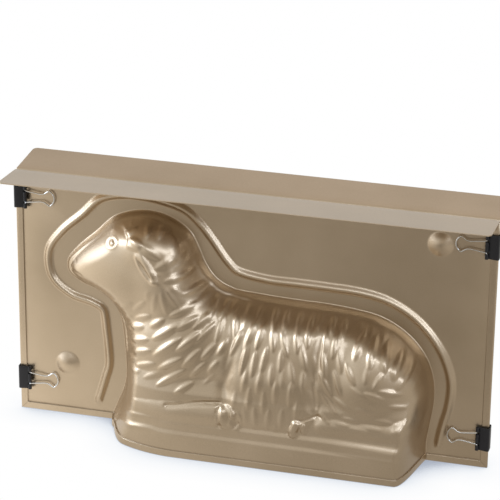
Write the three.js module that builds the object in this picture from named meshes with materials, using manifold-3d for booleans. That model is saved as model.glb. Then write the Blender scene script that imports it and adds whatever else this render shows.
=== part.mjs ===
// Lamb cake mould: two pressed sheet metal halves, clamped along a parting plane by four foldback clips.
// Millimetres, +Z up. X runs along the plates and the parting plane is Y = 0, with the front half on the
// -Y side. The mould stands on its open rim at Z = 0, and the lamb's nose points to -X.

import * as THREE from 'three';
import { mergeVertices } from 'three/addons/utils/BufferGeometryUtils.js';
import Module from 'manifold-3d';

const wasm = await Module();
wasm.setup();

// Lamb and plate sizes
const LAMB_LENGTH = 225.8;
const LAMB_HEIGHT = 139.5;
const LAMB_DEPTH = 39.2;
const NOSE_CLEARANCE = 6.35;
const CROWN_MARGIN = 16.7;
const SHEET = 0.6;
const PARTING_GAP = 0.3;

// Hem folded outwards along the sides and the bottom rim
const HEM_WIDTH = 4.2;

// Flange that spreads from the parting plane along the top and carries the mould when it is turned over
const FLANGE_DEPTH = 32;
const FLANGE_RISE = 2.3;
const FLANGE_BEND = 1.3;
const FLANGE_CORNER = 3.2;

// Walls between the plate and the lamb. How steeply they rise is a share of how far they run in, and they
// rise less steeply by a share of their own at the breast, along the back, up the neck and round the face.
const WALL_RISE_SHARE = 5.3;
const BREAST_EASE_SHARE = 2.3;
const BACK_EASE_SHARE = 1.3;
const NECK_EASE_SHARE = 0.8;
const FACE_EASE_SHARE = 1;

// How softly the walls turn into the lamb, with more at the breast and the rump's corner, and along the back
const WALL_BLEND = 13;
const CORNER_BLEND = 15;
const BACK_BLEND = 9;
const FORM_BLEND = 1.6;
const FOOT_FILLET = 1.4;

// Measured square to the plate, the sheet of a steep wall is at most this share of its own thickness
const THICKEST_CUT_SHARE = 6;

// Bead round the lamb and the locating domes, which nest one half in the other
const BEAD_GAP = 10.2;
const BEAD_WIDTH = 6.4;
const BEAD_HEIGHT = 2.1;
const BEAD_END = 6;
const BEAD_END_RUN = 5;
const DOME_RADIUS = 7.8;
const DOME_HEIGHT = 3;
const DOME_CLEARANCE = 0.6;
const LOW_DOME_OUTSET = 2.8;
const LOW_DOME_RISE = 12.3;
const HIGH_DOME_DROP = 2.2;
const NEST_SHARE = 0.5;

// Foldback clips
const CLIP_WIDTH = 14.8;
const CLIP_REACH = 6.4;
const CLIP_SPINE = 6.8;
const CLIP_SHEET = 0.5;
const CLIP_CLEARANCE = 0.3;
const CLIP_BEND = 0.9;
const LOW_CLIP_HEIGHT = 21.3;
const LOW_RIGHT_CLIP_DROP = 2.2;
const HIGH_CLIP_DROP = 16.2;
const WIRE = 0.9;
const WIRE_CLEARANCE = 0.15;
const HANDLE_REACH = 18.1;
const LEG_SPREAD = 7.2;
const WAIST_WIDTH = 4.8;
const FAN_WIDTH = 9.4;
const LEG_BEND = 0.9;
const PIN_SETBACK = 0.6;
const CURL_TURN = 262;

// Mesh counts
const ARCH_STEPS = 88;
const RIM_STEPS = 36;
const DOME_SIDES = 18;
const BEND_STEPS = 4;
const CORNER_STEPS = 3;
const CURL_STEPS = 11;
const HANDLE_STEPS = 30;
const WIRE_SIDES = 6;
const OUTLINE_STEPS = 240;

// Between these shares of its radius, from its centre line upwards, a swell's roundness turns from that
// below the line to that above it
const SWELL_TURN_LOW = -0.4;
const SWELL_TURN_HIGH = 0.8;

// Small step for measuring slopes, the overrun of every cut, and how close two points are to count as one
const PROBE = 0.15;
const OVERRUN = 1;
const SAME_POINT = 0.0001;
const ANGLE_SLACK = 1e-6;

// The lower right handle ends where the bead passes the rump's foot: the bead's gap and half width there,
// and how far the rump swells out past its foot
const RUMP_BEAD_GAP_SHARE = 0.7275;
const RUMP_BEAD_WIDTH_SHARE = 0.4;
const RUMP_SWELL_SHARE = 0.009;

// Sizes that follow
const HANDLE_SPAN = CLIP_REACH + HANDLE_REACH + WIRE / 2;
const NOSE_MARGIN = HANDLE_SPAN + NOSE_CLEARANCE;
const RUMP_BEAD = RUMP_BEAD_GAP_SHARE * BEAD_GAP + RUMP_BEAD_WIDTH_SHARE * BEAD_WIDTH;
const RUMP_MARGIN = HANDLE_SPAN + RUMP_BEAD - RUMP_SWELL_SHARE * LAMB_LENGTH;
const PLATE_WIDTH = NOSE_MARGIN + LAMB_LENGTH + RUMP_MARGIN;
const PLATE_HEIGHT = LAMB_HEIGHT + CROWN_MARGIN;
const HALF_WIDTH = PLATE_WIDTH / 2;
const HALF_GAP = PARTING_GAP / 2;
const HEM_EDGE = HALF_WIDTH - HEM_WIDTH;
const STACK_HALF = HALF_GAP + 2 * SHEET;
const WIRE_RADIUS = WIRE / 2;
const CURL_RADIUS = WIRE_RADIUS + WIRE_CLEARANCE + CLIP_SHEET / 2;
const JAW_HALF = STACK_HALF + CLIP_CLEARANCE + CLIP_SHEET / 2;
const HINGE_HALF = JAW_HALF + CURL_RADIUS;
const DOME_X = HALF_WIDTH - HANDLE_SPAN - DOME_CLEARANCE - DOME_RADIUS;
const HIGH_CLIP_HEIGHT = PLATE_HEIGHT - HIGH_CLIP_DROP;
const DOMES = [
  { x: -DOME_X - LOW_DOME_OUTSET, z: LOW_CLIP_HEIGHT + LOW_DOME_RISE },
  { x: DOME_X, z: HIGH_CLIP_HEIGHT - HIGH_DOME_DROP },
];

// Lamb outline on the plate, clockwise from the breast foot: share of the length from the nose,
// share of the height, and the gap to the bead as a share of BEAD_GAP.
const BREAST_FOOT_SHARE = 0.122;
const RUMP_FOOT_SHARE = 0.984;
const OUTLINE_SHARES = [
  [0.136, 0.085, 1.1], [0.158, 0.18, 1.2], [0.162, 0.262, 1.03], [0.159, 0.35, 1.0],
  [0.153, 0.45, 1.0], [0.144, 0.51, 0.92], [0.125, 0.562, 0.8], [0.086, 0.604, 0.86],
  [0.033, 0.639, 1.02], [0.003, 0.682, 1.08], [0.002, 0.735, 1.18], [0.03, 0.8, 1.22],
  [0.085, 0.885, 1.2], [0.128, 0.953, 1.22], [0.17, 0.985, 1.0], [0.215, 1.0, 0.78],
  [0.265, 0.993, 0.72], [0.31, 0.965, 0.8], [0.345, 0.92, 0.76], [0.365, 0.86, 0.95],
  [0.384, 0.79, 1.15], [0.411, 0.731, 1.2], [0.455, 0.692, 1.08], [0.545, 0.677, 0.92],
  [0.63, 0.671, 0.97], [0.712, 0.668, 0.98], [0.788, 0.658, 1.05], [0.85, 0.64, 1.04],
  [0.905, 0.598, 1.0], [0.95, 0.535, 0.94], [0.983, 0.452, 0.93], [0.998, 0.365, 0.95],
  [0.999, 0.27, 0.86], [0.991, 0.175, 0.74], [0.984, 0.09, 0.71],
];

// Line inside the lamb towards which the rings of its mesh close, and how far each ring goes there
const SPINE_SHARES = [[0.13, 0.765], [0.19, 0.82], [0.26, 0.68], [0.28, 0.5], [0.36, 0.38], [0.86, 0.35]];
const RING_SHARES = [0.03, 0.08, 0.14, 0.21, 0.285, 0.35, 0.42, 0.5, 0.6, 0.72, 0.86];

// Rounded forms of the lamb: centre, half lengths to the left and right, and half height as shares of its
// length and height, tilt in degrees, depth as a share of LAMB_DEPTH, and roundness.
const FORM_SHARES = {
  barrel: [0.619, 0.37, 0.421, 0.421, 0.335, 0, 0.878, 0.55],
  haunch: [0.845, 0.364, 0.162, 0.162, 0.29, 0, 0.929, 0.55],
  shoulder: [0.345, 0.42, 0.195, 0.195, 0.33, 0, 0.832, 0.55],
  breast: [0.301, 0.226, 0.199, 0.199, 0.265, 0, 0.816, 0.5],
  neck: [0.295, 0.688, 0.12, 0.115, 0.301, 22, 0.704, 0.6],
  head: [0.295, 0.724, 0.323, 0.133, 0.416, 0, 0.653, 1],
  crown: [0.247, 0.853, 0.106, 0.102, 0.151, 0, 0.6, 0.6],
};

// The plinth's face and the ground that the lamb lies on: shares of LAMB_HEIGHT and of LAMB_DEPTH
const GROUND_SHARES = [
  [0, 1], [0.103, 0.977], [0.123, 0.959], [0.152, 0.952], [0.172, 0.931], [0.215, 0.911],
  [0.287, 0.878], [0.344, 0.79], [0.444, 0.46], [0.53, 0],
];

// Belly, legs and ear on the forms: both ends of the centre line and the radius as shares of the lamb's
// length and height, rise as a share of LAMB_DEPTH, and roundness below and above the line.
const SWELL_SHARES = {
  belly: [0.561, 0.326, 0.636, 0.33, 0.094, 0.064, 0.5, 1.8],
  foreleg: [0.229, 0.191, 0.482, 0.21, 0.03, 0.04, 1.3, 0.55],
  hind_leg: [0.738, 0.221, 0.942, 0.226, 0.024, 0.03, 0.7, 1.4],
  ear: [0.24, 0.835, 0.27, 0.775, 0.022, 0.04, 0.9, 0.9],
};

// Where the walls change: the shares of the lamb's length, or of its height, between which each zone fades
const BREAST_LENGTH_SHARES = [0.2, 0.38];
const BREAST_HEIGHT_SHARES = [0.4, 0.62];
const NECK_LENGTH_SHARES = [0.353, 0.53];
const NECK_HEIGHT_SHARES = [0.401, 0.645];
const FACE_LENGTH_SHARES = [0.158, 0.3];
const FACE_HEIGHT_SHARES = [0.502, 0.66];
const CORNER_LENGTH_SHARES = [0.814, 0.946];
const CORNER_HEIGHT_SHARES = [0.2, 0.358];
const BACK_HEIGHT_SHARES = [0.401, 0.573];

// Rows of the mesh across the bead and up the domes, and the roundness of the domes
const BEAD_LINE_SHARES = [1, 0.5, 0, -0.5, -1];
const DOME_RING_SHARES = [1, 0.8, 0.5, 0.25];
const DOME_ROUNDNESS_SHARE = 1.2;

// Half of a handle's outline from its leg to its tip: share of the handle's reach, and share of half of
// the width named after it
const HANDLE_SHARES = [
  [0.33, 0.8, LEG_SPREAD], [0.55, 1, WAIST_WIDTH], [0.66, 1.16, WAIST_WIDTH], [0.77, 0.87, FAN_WIDTH],
  [0.83, 1, FAN_WIDTH], [0.9, 0.84, FAN_WIDTH], [0.97, 0.46, FAN_WIDTH],
];
const LEG_ROUND_SHARE = 0.3;

const lambX = (share) => share * LAMB_LENGTH + NOSE_MARGIN - HALF_WIDTH;
const lambZ = (share) => share * LAMB_HEIGHT;
const clamp = THREE.MathUtils.clamp;
const lerp = THREE.MathUtils.lerp;
const radians = THREE.MathUtils.degToRad;
const smoothstep = THREE.MathUtils.smoothstep;
const at = (x, z) => new THREE.Vector2(x, z);

// Knots of the outline, with the bead's gap carried along as a third coordinate
function outlineKnots() {
  const knots = OUTLINE_SHARES.map(([x, z, gap]) => new THREE.Vector3(lambX(x), lambZ(z), gap * BEAD_GAP));
  const breastFoot = new THREE.Vector3(lambX(BREAST_FOOT_SHARE), HEM_WIDTH, knots[0].z);
  const rumpFoot = new THREE.Vector3(lambX(RUMP_FOOT_SHARE), HEM_WIDTH, knots.at(-1).z);
  return [breastFoot, ...knots, rumpFoot];
}

// A smooth line through knots, in equal steps
function smoothLine(knots, steps) {
  const line = new THREE.CatmullRomCurve3(knots, false, 'centripetal');
  return line.getSpacedPoints(steps);
}

// The outline moved outwards by a distance given for each knot. Its two ends stay on the hem's upper edge.
function offsetLine(distanceAt, steps) {
  const knots = outlineKnots();
  const moved = knots.map((knot, i) => {
    const before = knots[Math.max(i - 1, 0)];
    const after = knots[Math.min(i + 1, knots.length - 1)];
    const along = new THREE.Vector2(after.x - before.x, after.y - before.y).normalize();
    const distance = distanceAt(knot);
    const end = i === 0 || i === knots.length - 1;
    const z = end ? HEM_WIDTH : knot.y + along.x * distance;
    return new THREE.Vector3(knot.x - (end ? Math.sign(along.y) : along.y) * distance, z, 0);
  });
  return smoothLine(moved, steps).map((point) => at(point.x, point.y));
}

const ARCH = offsetLine(() => 0, ARCH_STEPS);
const FINE_ARCH = offsetLine(() => 0, OUTLINE_STEPS);
const FINE_BEAD = offsetLine((knot) => knot.z, OUTLINE_STEPS);

// The outline closed below the rim, so that the hem counts as inside it
const OUTLINE = [at(FINE_ARCH[0].x, -HEM_WIDTH), ...FINE_ARCH, at(FINE_ARCH.at(-1).x, -HEM_WIDTH)];

function distanceToSegment(x, z, from, to) {
  const dx = to.x - from.x;
  const dz = to.y - from.y;
  const t = clamp(((x - from.x) * dx + (z - from.y) * dz) / (dx * dx + dz * dz), 0, 1);
  return Math.hypot(x - from.x - t * dx, z - from.y - t * dz);
}

function distanceToLine(x, z, line) {
  let nearest = Infinity;
  for (let i = 1; i < line.length; i += 1) {
    nearest = Math.min(nearest, distanceToSegment(x, z, line[i - 1], line[i]));
  }
  return nearest;
}

function insideOutline(x, z) {
  let inside = false;
  for (let i = 0, j = OUTLINE.length - 1; i < OUTLINE.length; j = i, i += 1) {
    const a = OUTLINE[i];
    const b = OUTLINE[j];
    if (a.y > z !== b.y > z && x < ((b.x - a.x) * (z - a.y)) / (b.y - a.y) + a.x) inside = !inside;
  }
  return inside;
}

// Depth of one rounded form over a point of the plate
function formDepth([cx, cz, left, right, halfHeight, tilt, depth, roundness], x, z) {
  const dx = x - lambX(cx);
  const dz = z - lambZ(cz);
  const turn = radians(tilt);
  const halfLength = dx < 0 ? left : right;
  const u = (dx * Math.cos(turn) + dz * Math.sin(turn)) / (halfLength * LAMB_LENGTH);
  const v = (dz * Math.cos(turn) - dx * Math.sin(turn)) / (halfHeight * LAMB_HEIGHT);
  return depth * LAMB_DEPTH * Math.max(0, 1 - u * u - v * v) ** roundness;
}

// How far a swell stands out from the forms over a point of the plate
function swellRise([ax, az, bx, bz, radiusShare, rise, below, above], x, z) {
  const line = new THREE.Line3(
    new THREE.Vector3(lambX(ax), lambZ(az), 0),
    new THREE.Vector3(lambX(bx), lambZ(bz), 0),
  );
  const nearest = line.closestPointToPoint(new THREE.Vector3(x, z, 0), true, new THREE.Vector3());
  const radius = radiusShare * LAMB_LENGTH;
  const away = Math.hypot(x - nearest.x, z - nearest.y) / radius;
  const roundness = lerp(below, above, smoothstep((z - nearest.y) / radius, SWELL_TURN_LOW, SWELL_TURN_HIGH));
  return away < 1 ? rise * LAMB_DEPTH * (1 - away * away) ** roundness : 0;
}

// Depth of the plinth's face and of the ground above it
function groundDepth(z) {
  const share = clamp(z / LAMB_HEIGHT, 0, GROUND_SHARES.at(-1)[0]);
  const next = Math.max(1, GROUND_SHARES.findIndex(([height]) => height >= share));
  const [low, lowDepth] = GROUND_SHARES[next - 1];
  const [high, highDepth] = GROUND_SHARES[next];
  return LAMB_DEPTH * lerp(lowDepth, highDepth, (share - low) / (high - low));
}

// Forms blended into one surface, with the swells on it
function bodyDepth(x, z) {
  const depths = Object.values(FORM_SHARES).map((form) => formDepth(form, x, z));
  const sum = [...depths, groundDepth(z)].reduce((total, depth) => total + Math.expm1(depth / FORM_BLEND), 1);
  const swells = Object.values(SWELL_SHARES).map((swell) => swellRise(swell, x, z));
  const depth = swells.reduce((total, rise) => total + rise, FORM_BLEND * Math.log(sum));
  return Math.min(depth, LAMB_DEPTH);
}

// Height that the pressed wall has reached at a distance inside the outline
function wallDepth(inset, slope) {
  if (inset < FOOT_FILLET) return (slope * inset * inset) / (2 * FOOT_FILLET);
  return slope * (inset - FOOT_FILLET / 2);
}

function smoothMin(a, b, blend) {
  const near = Math.max(blend - Math.abs(a - b), 0) / blend;
  return Math.min(a, b) - (near * near * blend) / 4;
}

const leftOf = (x, [from, to]) => 1 - smoothstep(x, lambX(from), lambX(to));
const higherThan = (z, [from, to]) => smoothstep(z, lambZ(from), lambZ(to));

function lambDepth(x, z) {
  const inset = distanceToLine(x, z, OUTLINE);
  const breast = leftOf(x, BREAST_LENGTH_SHARES) * (1 - higherThan(z, BREAST_HEIGHT_SHARES));
  const neck = leftOf(x, NECK_LENGTH_SHARES) * higherThan(z, NECK_HEIGHT_SHARES);
  const face = leftOf(x, FACE_LENGTH_SHARES) * higherThan(z, FACE_HEIGHT_SHARES);
  const corner = (1 - leftOf(x, CORNER_LENGTH_SHARES)) * (1 - higherThan(z, CORNER_HEIGHT_SHARES));
  const back = higherThan(z, BACK_HEIGHT_SHARES);
  const easedLow = BREAST_EASE_SHARE * breast + BACK_EASE_SHARE * back;
  const easedHigh = NECK_EASE_SHARE * neck + FACE_EASE_SHARE * face;
  const wall = wallDepth(inset, WALL_RISE_SHARE - easedLow - easedHigh);
  const soft = WALL_BLEND + CORNER_BLEND * Math.max(breast, corner) + BACK_BLEND * back * (1 - face);
  const blend = Math.min(soft, 2 * wall);
  return Math.max(0, blend > 0 ? smoothMin(wall, bodyDepth(x, z), blend) : 0);
}

function beadDepth(x, z) {
  const away = distanceToLine(x, z, FINE_BEAD) / (BEAD_WIDTH / 2);
  const end = HEM_WIDTH + BEAD_END;
  const grown = smoothstep(z, end - BEAD_END_RUN / 2, end + BEAD_END_RUN / 2);
  return away < 1 ? BEAD_HEIGHT * grown * Math.cos((away * Math.PI) / 2) ** 2 : 0;
}

function domeDepth(x, z) {
  const away = DOMES.map((dome) => Math.hypot(x - dome.x, z - dome.z) / DOME_RADIUS);
  const nearest = Math.min(...away);
  return nearest < 1 ? DOME_HEIGHT * (1 - nearest ** 2) ** DOME_ROUNDNESS_SHARE : 0;
}

// How far the sheet stands out from its plate: positive away from the parting plane
function pressing(x, z, nested) {
  if (insideOutline(x, z)) return lambDepth(x, z);
  const locator = Math.max(beadDepth(x, z), domeDepth(x, z));
  return nested ? -NEST_SHARE * locator : locator;
}

// Thickness of the sheet measured square to the plate, where the pressed surface slopes
function squareThickness(x, z, nested) {
  const slopeX = (pressing(x + PROBE, z, nested) - pressing(x - PROBE, z, nested)) / (2 * PROBE);
  const slopeZ = (pressing(x, z + PROBE, nested) - pressing(x, z - PROBE, nested)) / (2 * PROBE);
  return SHEET * Math.min(Math.hypot(1, slopeX, slopeZ), THICKEST_CUT_SHARE);
}

// Swaps the shared edge of two triangles wherever their angles get more even, so that no long thin ones stay
function evened(points, triangles) {
  const faces = triangles.map((face) => [...face]);
  const angle = (tip, u, v) => {
    const a = points[u].clone().sub(points[tip]);
    const b = points[v].clone().sub(points[tip]);
    return Math.atan2(Math.abs(a.cross(b)), a.dot(b));
  };
  const swapOne = () => {
    const owners = new Map();
    for (const [i, face] of faces.entries()) {
      for (const tip of face) {
        const [u, v] = face.filter((corner) => corner !== tip);
        const name = `${Math.min(u, v)} ${Math.max(u, v)}`;
        const other = owners.get(name);
        if (other && angle(tip, u, v) + angle(other.tip, u, v) > Math.PI + ANGLE_SLACK) {
          faces[i] = [tip, u, other.tip];
          faces[other.i] = [tip, other.tip, v];
          return true;
        }
        owners.set(name, { i, tip });
      }
    }
    return false;
  };
  while (swapOne());
  return faces;
}

// Flat layout of a half: triangles over the plate, each marked when it belongs to the folded hem
class Layout {
  constructor() {
    this.triangles = [];
  }

  add(a, b, c, hem = false) {
    const turn = (b.x - a.x) * (c.y - a.y) - (c.x - a.x) * (b.y - a.y);
    if (turn === 0) return;
    this.triangles.push({ corners: turn > 0 ? [a, b, c] : [a, c, b], hem });
  }

  band(rowA, rowB, hem = false) {
    for (let i = 1; i < rowA.length; i += 1) {
      this.add(rowA[i - 1], rowA[i], rowB[i], hem);
      this.add(rowA[i - 1], rowB[i], rowB[i - 1], hem);
    }
  }

  fill(contour, holes = []) {
    const points = [contour, ...holes].flat();
    for (const [a, b, c] of evened(points, THREE.ShapeUtils.triangulateShape(contour, holes))) {
      this.add(points[a], points[b], points[c]);
    }
  }
}

function nearestOnLine(point, line) {
  let best = line[0];
  for (let i = 1; i < line.length; i += 1) {
    const from = line[i - 1];
    const run = line[i].clone().sub(from);
    const t = clamp(point.clone().sub(from).dot(run) / run.lengthSq(), 0, 1);
    const candidate = from.clone().addScaledVector(run, t);
    if (candidate.distanceTo(point) < best.distanceTo(point)) best = candidate;
  }
  return best;
}

function layOut(flangeFoot) {
  const layout = new Layout();

  // Bead, from its outer foot to its inner foot, then the flat band to the lamb's wall
  const beadLines = BEAD_LINE_SHARES.map((share) => (
    offsetLine((knot) => knot.z + (share * BEAD_WIDTH) / 2, ARCH_STEPS)
  ));
  const archLines = [...beadLines, ARCH];
  for (let i = 1; i < archLines.length; i += 1) layout.band(archLines[i - 1], archLines[i]);

  // Lamb, in rings that close towards its spine line
  const rim = [];
  for (let i = 1; i < RIM_STEPS; i += 1) rim.push(ARCH.at(-1).clone().lerp(ARCH[0], i / RIM_STEPS));
  const outline = [...ARCH, ...rim];
  const spine = SPINE_SHARES.map(([x, z]) => at(lambX(x), lambZ(z)));
  const targets = outline.map((point) => nearestOnLine(point, spine));
  const rings = [0, ...RING_SHARES].map((share) => (
    outline.map((point, i) => point.clone().lerp(targets[i], share))
  ));
  for (let i = 1; i < rings.length; i += 1) {
    layout.band([...rings[i - 1], rings[i - 1][0]], [...rings[i], rings[i][0]]);
  }
  layout.fill(rings.at(-1));

  // Domes
  const circle = (dome, share) => Array.from({ length: DOME_SIDES }, (_, i) => {
    const turn = (i / DOME_SIDES) * 2 * Math.PI;
    return at(dome.x + share * DOME_RADIUS * Math.cos(turn), dome.z + share * DOME_RADIUS * Math.sin(turn));
  });
  const domeRows = DOMES.map((dome) => DOME_RING_SHARES.map((share) => circle(dome, share)));
  for (const rows of domeRows) {
    for (let row = 1; row < rows.length; row += 1) {
      layout.band([...rows[row - 1], rows[row - 1][0]], [...rows[row], rows[row][0]]);
    }
    layout.fill(rows.at(-1));
  }

  // Flat plate between the bead, the hems and the flange
  const corners = [
    at(HEM_EDGE, HEM_WIDTH), at(HEM_EDGE, flangeFoot), at(-HEM_EDGE, flangeFoot), at(-HEM_EDGE, HEM_WIDTH),
  ];
  layout.fill([...beadLines[0], ...corners], domeRows.map((rows) => rows[0]));

  // Hems up both sides and along the bottom rim
  for (const side of [-1, 1]) {
    layout.band(
      [at(side * HEM_EDGE, HEM_WIDTH), at(side * HEM_EDGE, flangeFoot)],
      [at(side * HALF_WIDTH, HEM_WIDTH), at(side * HALF_WIDTH, flangeFoot)],
      true,
    );
  }
  const left = archLines.map((line) => line[0]);
  const right = archLines.map((line) => line.at(-1)).reverse();
  const upper = [
    at(-HALF_WIDTH, HEM_WIDTH), at(-HEM_EDGE, HEM_WIDTH), ...left, ...rim.slice().reverse(),
    ...right, at(HEM_EDGE, HEM_WIDTH), at(HALF_WIDTH, HEM_WIDTH),
  ];
  layout.band(upper, upper.map((point) => at(point.x, 0)), true);
  return layout;
}

// Rows of the flange from the plate's top round the bend to its free edge, each with the point on the
// face away from the parting plane, the point on the other face, and the flange's half width there
function flangeRows() {
  const slope = Math.atan2(FLANGE_RISE, FLANGE_DEPTH);
  const outerBend = FLANGE_BEND + SHEET;
  const centreDepth = HALF_GAP + SHEET + FLANGE_BEND;
  const bendReach = centreDepth - outerBend * Math.sin(slope);
  const foot = PLATE_HEIGHT - outerBend * Math.cos(slope) + Math.tan(slope) * bendReach;
  const rows = [];
  for (let i = 0; i <= BEND_STEPS; i += 1) {
    const turn = Math.PI - (i / BEND_STEPS) * (Math.PI / 2 - slope);
    const ray = at(Math.cos(turn), Math.sin(turn));
    const centre = at(centreDepth, foot);
    rows.push({
      under: centre.clone().addScaledVector(ray, FLANGE_BEND),
      over: centre.clone().addScaledVector(ray, outerBend),
      half: HALF_WIDTH,
    });
  }
  const along = at(Math.cos(slope), Math.sin(slope));
  const end = rows.at(-1);
  const run = FLANGE_DEPTH - centreDepth;
  for (let i = 0; i <= CORNER_STEPS; i += 1) {
    const turn = (i / CORNER_STEPS) * (Math.PI / 2);
    const reach = run - FLANGE_CORNER * (1 - Math.sin(turn));
    rows.push({
      under: end.under.clone().addScaledVector(along, reach),
      over: end.over.clone().addScaledVector(along, reach),
      half: HALF_WIDTH - FLANGE_CORNER * (1 - Math.cos(turn)),
    });
  }
  return { rows, foot };
}

// One pressed half. side is -1 for the front half and 1 for the rear half, whose bead and domes nest
// into the front half's.
function mouldHalf(side) {
  const nested = side > 0;
  const { rows, foot } = flangeRows();
  const { triangles } = layOut(foot);
  const positions = [];
  const face = (...points) => {
    const ordered = side < 0 ? points : [points[0], points[2], points[1]];
    for (const [x, depth, z] of ordered) positions.push(x, side * depth, z);
  };
  const quad = (a, b, c, d) => {
    face(a, b, c);
    face(a, c, d);
  };

  // Depths of the two faces of the sheet at each point of the layout. The inner face goes past the parting
  // gap's side only where the bead and domes nest.
  const measured = new Map();
  const key = (point) => `${point.x.toFixed(4)} ${point.y.toFixed(4)}`;
  const measure = (point) => {
    const name = key(point);
    if (!measured.has(name)) {
      const depth = pressing(point.x, point.y, nested);
      const thick = squareThickness(point.x, point.y, nested);
      const inner = depth + SHEET - thick;
      const lowest = Math.min(0, 2 * depth);
      measured.set(name, {
        inner: HALF_GAP + Math.max(lowest, inner),
        outer: HALF_GAP + SHEET + depth,
        hem: HALF_GAP + SHEET + depth + thick,
      });
    }
    return measured.get(name);
  };
  const place = (point, layer) => [point.x, measure(point)[layer], point.y];

  const edges = new Map();
  for (const { corners, hem } of triangles) {
    const layer = hem ? 'hem' : 'outer';
    face(...corners.map((corner) => place(corner, layer)));
    face(...corners.slice().reverse().map((corner) => place(corner, 'inner')));
    corners.forEach((from, i) => {
      const to = corners[(i + 1) % 3];
      const name = [key(from), key(to)].sort().join(' to ');
      edges.set(name, [...(edges.get(name) ?? []), { from, to, layer }]);
    });
  }

  // Steps down from the hem, and the cut edge of the sheet
  const wall = ({ from, to }, high, low) => {
    quad(place(from, high), place(from, low), place(to, low), place(to, high));
  };
  for (const uses of edges.values()) {
    const [first, second] = uses;
    const underFlange = first.from.y === foot && first.to.y === foot;
    if (first.layer !== second?.layer) {
      const hemmed = first.layer === 'hem' ? first : second;
      if (hemmed) wall(hemmed, 'hem', 'outer');
    }
    if (!second && !underFlange) wall(first, 'outer', 'inner');
  }

  // Flange
  const columns = (row) => [-row.half, -HEM_EDGE, HEM_EDGE, row.half];
  const under = (row, x) => [x, row.under.x, row.under.y];
  const over = (row, x) => [x, row.over.x, row.over.y];
  for (let r = 1; r < rows.length; r += 1) {
    const [low, high] = [rows[r - 1], rows[r]];
    const [lowX, highX] = [columns(low), columns(high)];
    for (let c = 1; c < lowX.length; c += 1) {
      quad(under(low, lowX[c - 1]), under(low, lowX[c]), under(high, highX[c]), under(high, highX[c - 1]));
      quad(over(low, lowX[c]), over(low, lowX[c - 1]), over(high, highX[c - 1]), over(high, highX[c]));
    }
    quad(over(low, lowX[0]), under(low, lowX[0]), under(high, highX[0]), over(high, highX[0]));
    quad(under(low, lowX[3]), over(low, lowX[3]), over(high, highX[3]), under(high, highX[3]));
  }
  const edge = rows.at(-1);
  const edgeX = columns(edge);
  for (let c = 1; c < edgeX.length; c += 1) {
    quad(under(edge, edgeX[c - 1]), under(edge, edgeX[c]), over(edge, edgeX[c]), over(edge, edgeX[c - 1]));
  }

  const geometry = new THREE.BufferGeometry();
  geometry.setAttribute('position', new THREE.Float32BufferAttribute(positions, 3));
  return mergeVertices(geometry, SAME_POINT);
}

// Solid for boolean work, and back again
function toSolid(geometry) {
  const bare = geometry.clone();
  bare.deleteAttribute('normal');
  bare.deleteAttribute('uv');
  const merged = mergeVertices(bare, SAME_POINT);
  return new wasm.Manifold(new wasm.Mesh({
    numProp: 3,
    vertProperties: new Float32Array(merged.attributes.position.array),
    triVerts: new Uint32Array(merged.index.array),
  }));
}

function toGeometry(solid) {
  const mesh = solid.getMesh();
  const geometry = new THREE.BufferGeometry();
  geometry.setAttribute('position', new THREE.Float32BufferAttribute(mesh.vertProperties, 3));
  geometry.setIndex(Array.from(mesh.triVerts));
  return geometry;
}

// Centre line of the clip's bent strip, from the curl at one jaw's mouth round the spine to the other
function clipLine() {
  const upper = [];
  const back = CLIP_CLEARANCE + CLIP_SHEET / 2;
  const spineHalf = CLIP_SPINE / 2 - CLIP_SHEET / 2;
  for (const share of [0, 0.5, 1]) {
    const turn = Math.PI - (share * Math.PI) / 2;
    upper.push(at(-back + CLIP_BEND * (1 + Math.cos(turn)), spineHalf - CLIP_BEND * (1 - Math.sin(turn))));
  }
  for (let i = 0; i <= CURL_STEPS; i += 1) {
    const turn = radians(-90 + (i / CURL_STEPS) * CURL_TURN);
    upper.push(at(CLIP_REACH + CURL_RADIUS * Math.cos(turn), HINGE_HALF + CURL_RADIUS * Math.sin(turn)));
  }
  return [...upper.map((point) => at(point.x, -point.y)).reverse(), ...upper];
}

// Outline of a strip of even thickness along a line
function stripShape(line, thickness) {
  const runs = line.slice(1).map((point, i) => point.clone().sub(line[i]).normalize());
  const sides = [-1, 1].map((side) => line.map((point, i) => {
    const arriving = runs[Math.max(i - 1, 0)];
    const leaving = runs[Math.min(i, runs.length - 1)];
    const bisector = arriving.clone().add(leaving).normalize();
    const reach = (side * thickness) / 2 / bisector.dot(arriving);
    return at(point.x - bisector.y * reach, point.y + bisector.x * reach);
  }));
  return new THREE.Shape([...sides[0], ...sides[1].reverse()]);
}

// Spring steel body of a clip: local X points from the plate's edge into the plate
function clipSpring() {
  const shape = stripShape(clipLine(), CLIP_SHEET);
  const strip = new THREE.ExtrudeGeometry(shape, { depth: CLIP_WIDTH, bevelEnabled: false });
  strip.translate(0, 0, -CLIP_WIDTH / 2);
  const notch = WIRE + 2 * CLIP_CLEARANCE;
  const curlSize = 2 * (CURL_RADIUS + CLIP_SHEET) + CLIP_CLEARANCE;
  const from = CLIP_REACH - CURL_RADIUS - CLIP_SHEET / 2 - CLIP_CLEARANCE;
  const length = curlSize + OVERRUN;
  const height = 2 * (HINGE_HALF + CURL_RADIUS + CLIP_SHEET + OVERRUN);
  const notches = [-1, 1].map((end) => {
    const opening = new THREE.BoxGeometry(length, height, notch);
    opening.translate(from + length / 2, 0, (end * LEG_SPREAD) / 2);
    return toSolid(opening);
  });
  return toGeometry(notches.reduce((spring, opening) => spring.subtract(opening), toSolid(strip)));
}

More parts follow.
